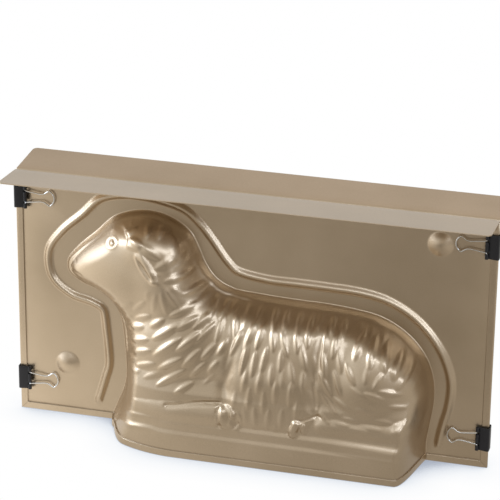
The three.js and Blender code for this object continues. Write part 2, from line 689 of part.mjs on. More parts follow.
// Wire handle: the hinge pins lie on local Z, and the handle reaches along local X
function clipHandle() {
  const leg = LEG_SPREAD / 2;
  const half = [
    [0, CLIP_WIDTH / 2 - PIN_SETBACK],
    [0, leg + LEG_BEND],
    [LEG_BEND * LEG_ROUND_SHARE, leg + LEG_BEND * LEG_ROUND_SHARE],
    [LEG_BEND, leg],
    ...HANDLE_SHARES.map(([reach, across, width]) => [reach * HANDLE_REACH, (across * width) / 2]),
  ].map(([reach, across]) => new THREE.Vector3(reach, 0, across));
  const mirrored = half.map((point) => new THREE.Vector3(point.x, 0, -point.z)).reverse();
  const line = new THREE.CatmullRomCurve3([...half, new THREE.Vector3(HANDLE_REACH, 0, 0), ...mirrored]);
  const section = new THREE.Shape(Array.from({ length: WIRE_SIDES }, (_, i) => {
    const turn = (i / WIRE_SIDES) * 2 * Math.PI;
    return at(WIRE_RADIUS * Math.cos(turn), WIRE_RADIUS * Math.sin(turn));
  }));
  const path = { steps: HANDLE_STEPS, extrudePath: line, bevelEnabled: false };
  return new THREE.ExtrudeGeometry(section, path);
}

const coating = { color: '#a8967a', roughness: 0.42, metalness: 0.75 };
const springSteel = { color: '#1d1c1e', roughness: 0.38, metalness: 0.5 };
const nickel = { color: '#cfcbc4', roughness: 0.2, metalness: 1 };

function named(name, geometry, finish) {
  const mesh = new THREE.Mesh(geometry, new THREE.MeshStandardMaterial(finish));
  mesh.name = name;
  return mesh;
}

const group = new THREE.Group();
group.add(named('front_mould_half', mouldHalf(-1), coating));
group.add(named('rear_mould_half', mouldHalf(1), coating));

// At rest a handle leans towards the plate until it would just clear the hem
const restLean = Math.atan2(HINGE_HALF - STACK_HALF - CLIP_CLEARANCE - WIRE_RADIUS, HANDLE_REACH);
const clips = [
  ['lower_left_clip', -1, LOW_CLIP_HEIGHT],
  ['lower_right_clip', 1, LOW_CLIP_HEIGHT - LOW_RIGHT_CLIP_DROP],
  ['upper_left_clip', -1, HIGH_CLIP_HEIGHT],
  ['upper_right_clip', 1, HIGH_CLIP_HEIGHT],
];
for (const [name, side, height] of clips) {
  const clip = new THREE.Group();
  clip.position.set(side * HALF_WIDTH, 0, height);
  clip.rotation.z = side > 0 ? Math.PI : 0;
  clip.add(named(`${name}_spring`, clipSpring(), springSteel));
  for (const [face, facing] of [['front', side], ['rear', -side]]) {
    const handle = named(`${name}_${face}_handle`, clipHandle(), nickel);
    handle.position.set(CLIP_REACH, facing * HINGE_HALF, 0);
    handle.rotation.z = -facing * restLean;
    clip.add(handle);
  }
  group.add(clip);
}

export default group;
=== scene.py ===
"""Looks of the lamb cake mould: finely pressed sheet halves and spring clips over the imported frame."""

import math

import bpy
import numpy as np
from mathutils import Matrix, Vector, geometry

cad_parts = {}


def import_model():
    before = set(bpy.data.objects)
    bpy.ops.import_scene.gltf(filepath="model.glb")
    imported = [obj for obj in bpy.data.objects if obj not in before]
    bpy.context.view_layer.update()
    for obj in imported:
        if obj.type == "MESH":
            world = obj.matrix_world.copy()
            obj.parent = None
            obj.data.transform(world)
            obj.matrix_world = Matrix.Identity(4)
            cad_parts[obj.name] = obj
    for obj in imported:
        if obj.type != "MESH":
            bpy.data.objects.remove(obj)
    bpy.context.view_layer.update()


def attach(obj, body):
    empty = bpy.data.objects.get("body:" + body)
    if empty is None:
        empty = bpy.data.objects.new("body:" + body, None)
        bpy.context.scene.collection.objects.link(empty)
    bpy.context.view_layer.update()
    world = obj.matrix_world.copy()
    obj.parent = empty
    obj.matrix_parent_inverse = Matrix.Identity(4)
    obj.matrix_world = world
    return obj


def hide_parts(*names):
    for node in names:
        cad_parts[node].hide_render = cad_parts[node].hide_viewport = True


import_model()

# Sizes in millimetres: X along the plates, Z up, and depths measured away from the parting plane
MM = 0.001
LAMB_LENGTH = 225.8
LAMB_HEIGHT = 139.5
LAMB_DEPTH = 39.2
NOSE_X = -113.7
HALF_WIDTH = 145.0
CROWN_MARGIN = 16.7
SHEET = 0.6
HALF_GAP = 0.15
HEM = 4.2

# Flange, and the height at which its bend begins
FLANGE_DEPTH = 32.0
FLANGE_RISE = 2.3
FLANGE_BEND = 1.3
FLANGE_CORNER = 3.2
FLANGE_SLOPE = math.atan2(FLANGE_RISE, FLANGE_DEPTH)
OUTER_BEND = FLANGE_BEND + SHEET
BEND_REACH = HALF_GAP + OUTER_BEND * (1 - math.sin(FLANGE_SLOPE))
BEND_DROP = OUTER_BEND * math.cos(FLANGE_SLOPE) - BEND_REACH * math.tan(FLANGE_SLOPE)
FLANGE_FOOT = round(LAMB_HEIGHT + CROWN_MARGIN - BEND_DROP, 4)

# Bead and domes. NEST is the share of their height that the rear half's have.
BEAD_GAP = 10.2
BEAD_WIDTH = 6.4
BEAD_HEIGHT = 2.4
BEAD_END = 11.4
BEAD_STRETCH = (0.94, 1.1)
BEAD_ROUNDNESS = 1.7
DOMES = ((-114.45, 33.6), (111.65, 137.8))
DOME_RADIUS = 7.8
DOME_HEIGHT = 3.0
DOME_ROUNDNESS = 1.3
NEST = 0.5

# Clips: name, side and height of each, then the bent strip, its curls and notches, and the wire handle
CLIPS = (
    ("lower_left_clip", -1, 21.3),
    ("lower_right_clip", 1, 19.1),
    ("upper_left_clip", -1, 140.0),
    ("upper_right_clip", 1, 140.0),
)
CLIP_REACH = 6.4
CLIP_SPINE = 6.8
CLIP_SHEET = 0.5
CLIP_CLEARANCE = 0.3
CLIP_BEND = 0.9
CLIP_ROWS = (-7.4, -5.9, -4.35, -2.85, -1.4, 0, 1.4, 2.85, 4.35, 5.9, 7.4)
CLIP_EDGE = 0.09
SPINE_HALF = (CLIP_SPINE - CLIP_SHEET) / 2
SPINE_ROWS = (-1.2, 0, 1.2)
JAW_SHARES = (0.35, 0.7, 0.86)
CURL_RADIUS = 0.85
CURL_TURN = 262
NOTCH = (2.85, 4.35)
HINGE_HALF = 2.75
WIRE_RADIUS = 0.45
HANDLE_REACH = 18.1

# Half of a handle: its pin in millimetres, then shares of its reach with its half width there. A wire's tips
# are domed by rings: how far out and how wide each is, as shares of its radius.
HANDLE_PIN = ((0, 6.8), (0, 4.5), (0.27, 3.87), (0.9, 3.6))
HANDLE_SHARES = (
    (0.33, 2.88), (0.55, 2.4), (0.66, 2.784), (0.77, 4.089), (0.83, 4.7), (0.9, 3.948), (0.97, 2.162),
)
TIP_SHARES = ((0.30, 0.45), (0.16, 0.85))
HANDLE_STEPS = 96

# At rest a handle leans towards the plates until it would just clear the hem
LEAN = math.atan2(HINGE_HALF - HALF_GAP - 2 * SHEET - CLIP_CLEARANCE - WIRE_RADIUS, HANDLE_REACH)

# Lamb outline on the plate: share of the length, share of the height, share of the bead's gap
FOOT_SHARES = (0.122, 0.984)
OUTLINE_SHARES = (
    (0.136, 0.085, 1.1), (0.158, 0.18, 1.2), (0.162, 0.262, 1.03), (0.159, 0.35, 1.0),
    (0.153, 0.45, 1.0), (0.144, 0.51, 0.92), (0.125, 0.562, 0.8), (0.086, 0.604, 0.86),
    (0.033, 0.639, 1.02), (0.003, 0.682, 1.08), (0.002, 0.735, 1.18), (0.03, 0.8, 1.22),
    (0.085, 0.885, 1.2), (0.128, 0.953, 1.22), (0.17, 0.985, 1.0), (0.215, 1.0, 0.78),
    (0.265, 0.993, 0.72), (0.31, 0.965, 0.8), (0.345, 0.92, 0.76), (0.365, 0.86, 0.95),
    (0.384, 0.79, 1.15), (0.411, 0.731, 1.2), (0.455, 0.692, 1.08), (0.545, 0.677, 0.92),
    (0.63, 0.671, 0.97), (0.712, 0.668, 0.98), (0.788, 0.658, 1.05), (0.85, 0.64, 1.04),
    (0.905, 0.598, 1.0), (0.95, 0.535, 0.94), (0.983, 0.452, 0.93), (0.998, 0.365, 0.95),
    (0.999, 0.27, 0.86), (0.991, 0.175, 0.74), (0.984, 0.09, 0.71),
)
ARCH_STEPS = 480

# Rounded forms of the lamb: centre x and z, half length left and right, half height, tilt, depth, roundness
FORMS = (
    (26.0, 51.6, 95.0, 95.0, 46.7, 0, 34.4, 0.55),
    (77.1, 50.8, 36.5, 36.5, 40.5, 0, 36.4, 0.55),
    (-35.8, 58.6, 44.0, 44.0, 46.0, 0, 32.6, 0.55),
    (-45.7, 31.5, 44.9, 44.9, 36.9, 0, 32.0, 0.5),
    (-47.0, 96.0, 27.0, 26.0, 42.0, 22, 27.6, 0.6),
    (-47.0, 101.0, 73.0, 30.0, 58.0, 0, 25.6, 1.0),
    (-58.0, 119.0, 24.0, 23.0, 21.0, 0, 23.5, 0.6),
)
FORM_BLEND = 1.6
CREST_MARGIN = 0.2

# Depth of the plinth's face and of the ground that the lamb lies on: height, depth
GROUND = (
    (0, 39.2), (14.6, 38.5), (17.0, 37.5), (21.4, 37.2), (23.8, 36.2), (30, 35.5), (40, 34.4),
    (48, 31.0), (62, 18), (74, 0),
)
GROUND_BLEND = 1.0
GROUND_TOP = 90
GROUND_STEP = 0.2
GROUND_SOFTNESS = 0.8

# The ground turns away at its ends: where that starts, how long it is, and how far round it goes
LEFT_TURN = (-34, 58, 0.92)
RUMP_TURN = (80, 44, 0.9)
RUMP_TURN_Z = (20, 40)

# Legs, hoofs, folds, belly and mane on the forms: both ends of the centre line, radii, heights, and the
# roundness below and above the line
SWELLS = (
    (13.0, 45.5, 30.0, 46.0, 21.3, 21.3, 2.5, 2.5, 0.5, 1.8),
    (-62.0, 26.6, -10.0, 29.4, 5.2, 7.4, 0.9, 2.4, 1.3, 0.55),
    (-4.6, 27.6, -4.2, 30.6, 6.0, 6.0, 2.0, 2.0, 0.55, 0.5),
    (36.0, 24.6, 38.0, 30.8, 2.9, 2.7, 2.3, 2.5, 0.7, 0.7),
    (42.2, 26.6, 42.5, 29.6, 2.1, 2.0, 1.3, 1.3, 0.8, 0.8),
    (53.0, 30.8, 97.0, 31.6, 4.6, 5.2, 0.9, 1.1, 0.7, 1.4),
    (97.4, 34.4, 101.6, 36.6, 4.4, 3.6, 1.5, 1.7, 1.4, 1.4),
    (50.0, 20.6, 97.4, 18.4, 4.4, 4.6, 0.1, 1.0, 0.8, 1.6),
    (-54.0, 125.0, -42.0, 108.0, 8.0, 7.0, -0.8, -1.0, 1.4, 1.4),
)
SWELL_TURN = (-0.4, 0.8)

# Creases: height, which is below zero, half width, then the points of the line
STROKES = (
    (-1.4, 3.4, (1, 98), (-2, 84), (-4, 62), (-6, 46), (-5, 38)),
    (-1.6, 2.8, (51, 88), (48.5, 74), (47, 60), (46.5, 48), (48, 37)),
    (-1.4, 1.1, (-41, 31.8), (-36.4, 32.4), (-26.6, 34.4), (-17.4, 36.0), (-9.3, 36.9)),
    (-1.4, 1.1, (-8.8, 34), (-8.9, 29), (-8.4, 24)),
    (-0.9, 0.9, (39.9, 32.6), (44.1, 34.4), (47.6, 35.6), (52, 36.2)),
    (-0.6, 0.9, (-110, 98.4), (-106, 98.0), (-101.5, 97.2)),
)
STROKE_STEPS = 40

# Ridges of the plinth round its left end: height, half width, then the points of the line
CORNER_RIDGES = (
    (0.6, 1.4, (-76.5, 14.5), (-73.5, 16.8), (-70.5, 19.8), (-64.3, 21.6), (-54.5, 22.4), (-44.8, 21.8)),
    (0.6, 1.4, (-79.5, 7), (-77.0, 10.0), (-72.2, 12.6), (-63.6, 14.4), (-53.8, 15.9), (-38, 16.6)),
)
RIDGE_STEPS = 60
RIDGE_INSET = (1.5, 5)
RIDGE_END = (-60, -42)

# The eye's lid, the groove in it and a hoof as rings on an ellipse: centre x and z, half lengths, tilt,
# height, then where the ring lies as a share of the ellipse and its half width as such a share
RINGS = (
    (-80.6, 122.3, 4.0, 2.6, 22, 0.35, 1.0, 0.22),
    (-80.6, 122.3, 4.0, 2.6, 22, -0.4, 0.72, 0.16),
    (1.4, 27.6, 3.0, 5.0, -8, 0.5, 1.0, 0.28),
)

# Eyeball, ear and its hollow as domes: centre x and z, half lengths, tilt, height, roundness
CAPS = (
    (-80.2, 122.5, 1.9, 1.8, 0, 0.8, 0.5),
    (-56.3, 112.4, 11.5, 4.4, -50, 1.7, 0.9),
    (-57.6, 112.2, 8.4, 1.5, -51, -1.5, 0.8),
)

# Nostril and the ear's tip as soft spots: centre x and z, half lengths, tilt, height
SPOTS = (
    (-106.3, 104.6, 1.2, 0.8, 30, -0.4),
    (-51.4, 105.2, 1.8, 1.5, 0, 0.9),
)
FEATURE_INSET = (2, 5)

# Walls from the plate to the lamb: rise for each millimetre inwards, less or more of it in some zones
WALL_RISE = 5.3
BREAST_EASE = 2.3
BACK_EASE = 1.3
NECK_EASE = 0.8
FACE_EASE = 1.0
LOW_BREAST_RISE = 1.2
FOOT_FILLET = 1.4

# How softly the walls turn into the lamb, with more of it in some zones
WALL_BLEND = 13
CORNER_BLEND = 15
BACK_BLEND = 9
LOW_BREAST_BLEND = 8

# Between which places along x, and between which heights, each zone fades
BREAST_X = (-68.5, -27.9)
BREAST_Z = (55.8, 86.5)
LOW_BREAST_Z = (20, 60)
NECK_X = (-34, 6)
NECK_Z = (56, 90)
FACE_X = (-78, -46)
FACE_Z = (70, 92)
BACK_Z = (56, 80)
CORNER_X = (70, 100)
CORNER_Z = (30, 90)
CORNER_FOOT_Z = (4, 20)
CORNER_FOOT_SHARE = 0.35

# Locks of wool read from the photo: x, z, direction in degrees, length, width, height
LOCKS = (
    (-61, 88, 45, 10, 6.5, 0.8), (-59, 81, 24, 10, 7, 1.1), (-63, 74, 19, 9, 7, 1.1),
    (-61, 67, 19, 12, 7, 1.3), (-59, 60.5, 22, 12, 7, 1.3), (-56, 53, 21, 12, 7, 1.2),
    (-49, 80, 36, 9, 7, 1.2), (-43, 76, 35, 17, 8, 1.6), (-42, 67, 39, 18, 8, 1.7),
    (-40, 57, 33, 15, 8, 1.6), (-39, 48.5, 35, 18, 7.5, 1.5), (-31, 43.5, 34, 11, 6.5, 1.1),
    (-34, 89, 28, 14, 8, 1.3), (-31, 82, 31, 13, 7.5, 1.4), (-29, 72, 42, 15, 7.5, 1.6),
    (-20, 77, 48, 13, 7, 1.4), (-27, 62, 50, 13, 7, 1.4), (-22, 84, 42, 11, 7, 1.3),
    (-17, 67, 52, 11, 6.5, 1.3), (-23, 55, 49, 11, 6.5, 1.2), (-9, 70, 59, 9, 6, 1.1),
    (-14, 58, 55, 9, 6, 1.0), (-28, 100, 14, 12, 8, 1.2), (-38, 108, 14, 12, 8, 1.1),
    (-44, 117, 30, 13, 9, 0.9), (-18, 89, 84, 10, 6.5, 1.1), (-12, 88, 70, 9, 6, 1.0),
    (-12, 80, 80, 14, 6, 1.2), (-36, 100, 147, 12, 6, 0.4), (-40, 96, 122, 12, 6, 0.5),
    (-45, 93, 102, 12, 6, 0.5), (-51, 92, 80, 11, 6, 0.4), (-69, 130, 30, 8, 6.5, 1.2),
    (-63, 126, 165, 8, 6.5, 1.2), (-54, 122, 150, 12, 8, 1.0), (-42, 124, 120, 15, 9, 0.9),
    (-59, 134, 105, 9, 7, 1.0), (-51, 133, 90, 8, 7, 0.9), (-71, 136, 110, 7, 6, 1.0),
    (-3, 82, 96, 13, 6, 1.4), (-1, 73, 68, 14, 6, 1.5), (7, 79, 72, 14, 6, 1.5),
    (5, 66, 80, 16, 6, 1.5), (13, 79, 78, 12, 6, 1.4), (21, 79, 97, 12, 6, 1.4),
    (19, 88, 100, 9, 6, 1.2), (26, 87, 102, 9, 6, 1.2), (28, 77, 112, 12, 6, 1.3),
    (35, 79, 99, 11, 6, 1.3), (34, 87, 97, 8, 6, 1.1), (41, 83, 95, 12, 6, 1.3),
    (40, 71, 107, 12, 6, 1.2), (17, 67, 80, 13, 6, 1.2), (11, 64, 84, 12, 6, 1.2),
    (27, 68, 88, 11, 6, 1.1), (51, 80, 93, 12, 6, 1.4), (57, 78, 87, 11, 6, 1.3),
    (53, 88, 100, 9, 6, 1.1), (52, 68, 100, 14, 6, 1.4), (61, 71, 102, 12, 6, 1.2),
    (54, 56, 117, 15, 6, 1.2), (61, 58, 110, 13, 6, 1.2), (68, 65, 122, 11, 6, 1.0),
    (60, 86, 95, 9, 6, 1.0), (6, 53, 81, 12, 6, 0.9), (15, 54, 82, 12, 6, 0.9),
    (9, 43, 85, 12, 6, 0.8), (22, 59, 89, 11, 6, 0.9), (25, 49, 87, 12, 6, 0.9),
    (34, 49, 86, 13, 6, 0.9), (18, 42, 88, 12, 6, 0.8), (21, 32, 84, 11, 6, 0.7),
    (29, 33, 85, 11, 6, 0.7), (13, 32, 93, 11, 6, 0.7), (38, 40, 84, 10, 6, 0.8),
    (41, 57, 92, 11, 6, 0.9), (34, 62, 104, 10, 6, 0.9), (56, 45, 127, 13, 6, 0.9),
    (64, 46, 150, 12, 6, 0.8), (53, 37, 140, 10, 5.5, 0.7), (70, 37, 172, 9, 5.5, 0.6),
    (71, 79, 77, 12, 7.5, 1.4), (79, 76, 89, 12, 7.5, 1.5), (87, 74, 100, 11, 7.5, 1.5),
    (94, 70, 83, 11, 7.5, 1.4), (98, 62, 57, 10, 7, 1.2), (92, 56, 168, 11, 6.5, 1.2),
    (85, 63, 64, 9, 6.5, 1.1), (96, 47, 172, 9, 6, 0.9), (83, 54, 163, 10, 6, 0.8),
    (101, 69, 80, 8, 6, 0.9), (83, 85, 100, 8, 7, 1.0), (69, 89, 95, 9, 6.5, 0.9),
    (45, 90, 100, 9, 6, 0.9), (10, 91, 85, 9, 6, 0.9), (78, 44, 168, 10, 6, 0.7),
    (88, 38, 175, 10, 6, 0.7),
)

# One lock's half length and half width as shares of its length and width, its fullness, and how it narrows
# and drops to its tips. The higher LOCK_JOIN is, the sharper the grooves where locks meet.
LOCK_HALF_LENGTH = 0.64
LOCK_HALF_WIDTH = 0.44
LOCK_FULLNESS = 0.85
LOCK_TAPER = 0.6
LOCK_POINT = 0.02
LOCK_TIP = 0.7
LOCK_JOIN = 3

# Seeded locks between those: tries, the field for them, how far off their neighbours they keep as shares of
# length and width, and how they differ from the locks round them
SEED = 7
LOCK_TRIES = 5200
LOCK_FIELD = ((-100, 20), (118, 142))
LOCK_MARGIN = 3.0
HAUNCH = (92, 60)
LOCK_SPACING = (0.86, 0.92)
LOCK_SOFTNESS = 3.0
SEEDED_TURN = (-6, 6)
SEEDED_LENGTH = (0.85, 1.0)
SEEDED_WIDTH = 0.9
SEEDED_HEIGHT = (0.35, 0.6)

# Border of the wool, how softly it ends there, and how far inside the outline it is full
WOOL_EDGE = (
    (-70, 160), (-78.3, 139.6), (-78.6, 131.5), (-73.9, 130.2), (-69.7, 127.5), (-69.5, 122.5), (-62, 121.5),
    (-56, 113), (-50, 103), (-58, 98), (-66, 92), (-74, 88), (-100, 84), (-100, 46), (-60, 45.5), (-48, 41),
    (-36, 38), (-26, 41), (-14, 50), (-7, 52), (-4, 42), (-2, 30), (5, 25.5), (20, 23), (33, 24.5), (40, 29),
    (48, 33), (58, 31.5), (75, 29), (95, 27), (125, 25), (125, 110), (60, 110), (0, 130), (-20, 160),
)
WOOL_FADE = (-0.3, 1.2)
WOOL_START = 2.2
WOOL_FULL = 6.0
WOOL_LATER = 5.0
WOOL_BREAST_X = (-62, -50)
WOOL_RUMP_X = (80, 94)
WOOL_RUMP_Z = (56, 66)
CROWN_FLEECE = 0.9
CROWN_Z = (100, 124)


def smooth_line(knots, steps, fine=24):
    """Centripetal Catmull-Rom line through the knots, in equal steps."""
    k = np.asarray(knots, float)
    k = np.vstack([2 * k[0] - k[1], k, 2 * k[-1] - k[-2]])
    pieces = []
    for a, b, c, d in zip(k, k[1:], k[2:], k[3:]):
        tb = np.linalg.norm(b - a) ** 0.5
        tc = tb + np.linalg.norm(c - b) ** 0.5
        td = tc + np.linalg.norm(d - c) ** 0.5
        t = np.linspace(tb, tc, fine, endpoint=False)[:, None]
        ab = a + (b - a) * t / tb
        bc = b + (c - b) * (t - tb) / (tc - tb)
        cd = c + (d - c) * (t - tc) / (td - tc)
        abc = ab + (bc - ab) * t / tc
        bcd = bc + (cd - bc) * (t - tb) / (td - tb)
        pieces.append(abc + (bcd - abc) * (t - tb) / (tc - tb))
    dense = np.vstack(pieces + [k[-2:-1]])
    return even_line(dense, steps)


def even_line(dense, steps):
    """A line again, in equal steps."""
    length = np.concatenate([[0], np.cumsum(np.linalg.norm(np.diff(dense, axis=0), axis=1))])
    along = np.linspace(0, length[-1], steps + 1)
    return np.column_stack([np.interp(along, length, dense[:, i]) for i in range(dense.shape[1])])


def outline_knots():
    """Points of the lamb's outline, each with the gap to the bead, and both feet on the hem."""
    knots = [(s * LAMB_LENGTH + NOSE_X, h * LAMB_HEIGHT, g * BEAD_GAP) for s, h, g in OUTLINE_SHARES]
    first = (FOOT_SHARES[0] * LAMB_LENGTH + NOSE_X, HEM, knots[0][2])
    last = (FOOT_SHARES[1] * LAMB_LENGTH + NOSE_X, HEM, knots[-1][2])
    return np.array([first, *knots, last])


def offset_line(gaps, steps):
    """The outline moved outwards, with its ends kept on the hem's upper edge."""
    knots = outline_knots()
    moved = []
    for i, (x, z, _) in enumerate(knots):
        along = (knots[min(i + 1, len(knots) - 1)] - knots[max(i - 1, 0)])[:2]
        along /= np.linalg.norm(along)
        if i in (0, len(knots) - 1):
            moved.append((x - np.sign(along[1]) * gaps[i], HEM))
        else:
            moved.append((x - along[1] * gaps[i], z + along[0] * gaps[i]))
    return smooth_line(moved, steps)


ARCH = offset_line(np.zeros(len(OUTLINE_SHARES) + 2), ARCH_STEPS)
BEAD = offset_line(outline_knots()[:, 2], ARCH_STEPS)
RING = np.vstack([[ARCH[0, 0], -3 * HEM], ARCH, [ARCH[-1, 0], -3 * HEM]])


def distance(x, z, line, batch=4000):
    """Distance of each point from an open line."""
    best = np.full(x.shape, np.inf)
    a = line[:-1]
    run = line[1:] - a
    size = (run ** 2).sum(1)
    for start in range(0, len(x), batch):
        part = slice(start, start + batch)
        px = x[part, None] - a[None, :, 0]
        pz = z[part, None] - a[None, :, 1]
        t = np.clip((px * run[:, 0] + pz * run[:, 1]) / size, 0, 1)
        best[part] = np.sqrt(((px - t * run[:, 0]) ** 2 + (pz - t * run[:, 1]) ** 2).min(1))
    return best


def inside(x, z, ring):
    """Whether each point is inside a closed line."""
    odd = np.zeros(x.shape, bool)
    for (ax, az), (bx, bz) in zip(ring, np.roll(ring, -1, axis=0)):
        if az != bz:
            odd ^= ((az > z) != (bz > z)) & (x < (bx - ax) * (z - az) / (bz - az) + ax)
    return odd


def rising(value, span):
    """0 before a span, 1 past it and a smooth rise between."""
    t = np.clip((value - span[0]) / (span[1] - span[0]), 0, 1)
    return t * t * (3 - 2 * t)


def smooth_min(a, b, blend):
    """The lesser of two depths, rounded where they come close."""
    near = np.maximum(blend - np.abs(a - b), 0) / np.maximum(blend, 1e-9)
    return np.minimum(a, b) - near * near * blend / 4


def ellipse(x, z, cx, cz, half_u, half_v, tilt):
    """Squared distance from the centre of a tilted ellipse, 1 on its edge."""
    c, s = math.cos(math.radians(tilt)), math.sin(math.radians(tilt))
    u = ((x - cx) * c + (z - cz) * s) / half_u
    v = ((z - cz) * c - (x - cx) * s) / half_v
    return u * u + v * v


def swell_height(x, z, ax, az, bx, bz, ra, rb, ha, hb, low, high):
    """Height of a rounded swell along a centre line, with its own roundness below and above it."""
    t = np.clip(((x - ax) * (bx - ax) + (z - az) * (bz - az)) / ((bx - ax) ** 2 + (bz - az) ** 2), 0, 1)
    radius = ra + (rb - ra) * t
    off = z - az - t * (bz - az)
    away = ((x - ax - t * (bx - ax)) ** 2 + off ** 2) / radius ** 2
    power = low + (high - low) * rising(off / radius, SWELL_TURN)
    return (ha + (hb - ha) * t) * np.maximum(0, 1 - away) ** power


def blend_depths(depths, blend):
    """Depths joined into one surface with soft valleys."""
    return blend * np.log1p(sum(np.expm1(depth / blend) for depth in depths))


def ground(z):
    """The plinth's face and the ground above it, with every bend rounded."""
    heights = np.arange(-20 * GROUND_STEP, GROUND_TOP, GROUND_STEP)
    depths = np.interp(heights, *np.transpose(GROUND))
    kernel = np.exp(-(np.arange(-10, 11) * GROUND_STEP / GROUND_SOFTNESS) ** 2)
    padded = np.pad(depths, len(kernel) // 2, mode="edge")
    return np.interp(z, heights, np.convolve(padded, kernel / kernel.sum(), mode="valid"))


def body(x, z):
    """Depth of the lamb and its plinth before the wool and the walls."""
    depths = []
    for cx, cz, left, right, half_v, tilt, depth, roundness in FORMS:
        away = ellipse(x, z, cx, cz, np.where(x < cx, left, right), half_v, tilt)
        depths.append(depth * np.maximum(0, 1 - away) ** roundness)
    start, run, most = LEFT_TURN
    left_end = np.clip((start - x) / run, 0, most)
    start, run, most = RUMP_TURN
    rump_end = np.clip((x - start) / run, 0, most) * rising(z, RUMP_TURN_Z)
    rounded = np.sqrt(1 - left_end ** 2) * np.sqrt(1 - rump_end ** 2)
    whole = blend_depths([blend_depths(depths, FORM_BLEND), ground(z) * rounded], GROUND_BLEND)
    for swell in SWELLS:
        whole += swell_height(x, z, *swell)
    for height, width, *points in STROKES:
        whole += height * np.exp(-(distance(x, z, smooth_line(points, STROKE_STEPS)) / width) ** 2)
    return np.minimum(whole, LAMB_DEPTH - CREST_MARGIN)


def features(x, z):
    """Eye, nostril, ear and hoof."""
    extra = np.zeros(x.shape)
    for *place, height, share, width in RINGS:
        extra += height * np.exp(-((np.sqrt(ellipse(x, z, *place)) - share) / width) ** 2)
    for *place, height, roundness in CAPS:
        extra += height * np.maximum(0, 1 - ellipse(x, z, *place)) ** roundness
    for *place, height in SPOTS:
        extra += height * np.exp(-ellipse(x, z, *place))
    return extra


def wool_share(x, z, inset):
    """How full the wool is: none outside its border or at the walls, and later at the breast and rump."""
    edge = np.array(WOOL_EDGE, float)
    reach = distance(x, z, np.vstack([edge, edge[:1]]))
    reach = np.where(inside(x, z, edge), reach, -reach)
    later = 1 - rising(x, WOOL_BREAST_X) + rising(x, WOOL_RUMP_X) * (1 - rising(z, WOOL_RUMP_Z))
    return rising(reach, WOOL_FADE) * rising(inset, (WOOL_START, WOOL_FULL + WOOL_LATER * later))


def lock_field(x, z):
    """Direction, length, width and height of the wool near a point, from the locks that were measured."""
    locks = np.array(LOCKS)
    weight = 1 / (((x - locks[:, 0]) ** 2 + (z - locks[:, 1]) ** 2) + LOCK_SOFTNESS ** 2) ** 2
    weight /= weight.sum()
    turn = np.radians(2 * locks[:, 2])
    angle = math.degrees(math.atan2((weight * np.sin(turn)).sum(), (weight * np.cos(turn)).sum()) / 2)
    return angle, *(weight * locks[:, 3:].T).sum(1)


def all_locks():
    """The measured locks and seeded ones that fill the gaps between them."""
    rng = np.random.default_rng(SEED)
    kept = [tuple(lock) for lock in LOCKS]
    edge = np.array(WOOL_EDGE, float)
    tries = rng.uniform(*LOCK_FIELD, (LOCK_TRIES, 2))
    x, z = tries.T
    good = inside(x, z, edge) & inside(x, z, RING)
    good &= (distance(x, z, RING) > LOCK_MARGIN) & ((x < HAUNCH[0]) | (z > HAUNCH[1]))
    for x, z in tries[good]:
        angle, length, width, height = lock_field(x, z)
        c, s = math.cos(math.radians(angle)), math.sin(math.radians(angle))
        others = np.array(kept)
        dx, dz = others[:, 0] - x, others[:, 1] - z
        u = (dx * c + dz * s) / (LOCK_SPACING[0] * length)
        v = (dz * c - dx * s) / (LOCK_SPACING[1] * width)
        if ((u * u + v * v) > 1).all():
            tilt = angle + rng.uniform(*SEEDED_TURN)
            length *= rng.uniform(*SEEDED_LENGTH)
            kept.append((x, z, tilt, length, SEEDED_WIDTH * width, height * rng.uniform(*SEEDED_HEIGHT)))
    return kept


def wool(x, z):
    """Height of the locks: long pointed swells with grooves where they meet."""
    total = np.zeros(x.shape)
    for cx, cz, angle, length, width, height in all_locks():
        half_u, half_v = LOCK_HALF_LENGTH * length, LOCK_HALF_WIDTH * width
        near = np.hypot(x - cx, z - cz) < half_u
        c, s = math.cos(math.radians(angle)), math.sin(math.radians(angle))
        u = ((x[near] - cx) * c + (z[near] - cz) * s) / half_u
        v = ((z[near] - cz) * c - (x[near] - cx) * s) / half_v
        taper = np.maximum(LOCK_POINT, 1 - u * u) ** LOCK_TAPER
        across = np.cos(np.clip(v / taper, -1, 1) * math.pi / 2) ** 2
        swell = LOCK_FULLNESS * height * across * np.maximum(0, 1 - u * u) ** LOCK_TIP
        total[near] += swell ** LOCK_JOIN
    return total ** (1 / LOCK_JOIN)


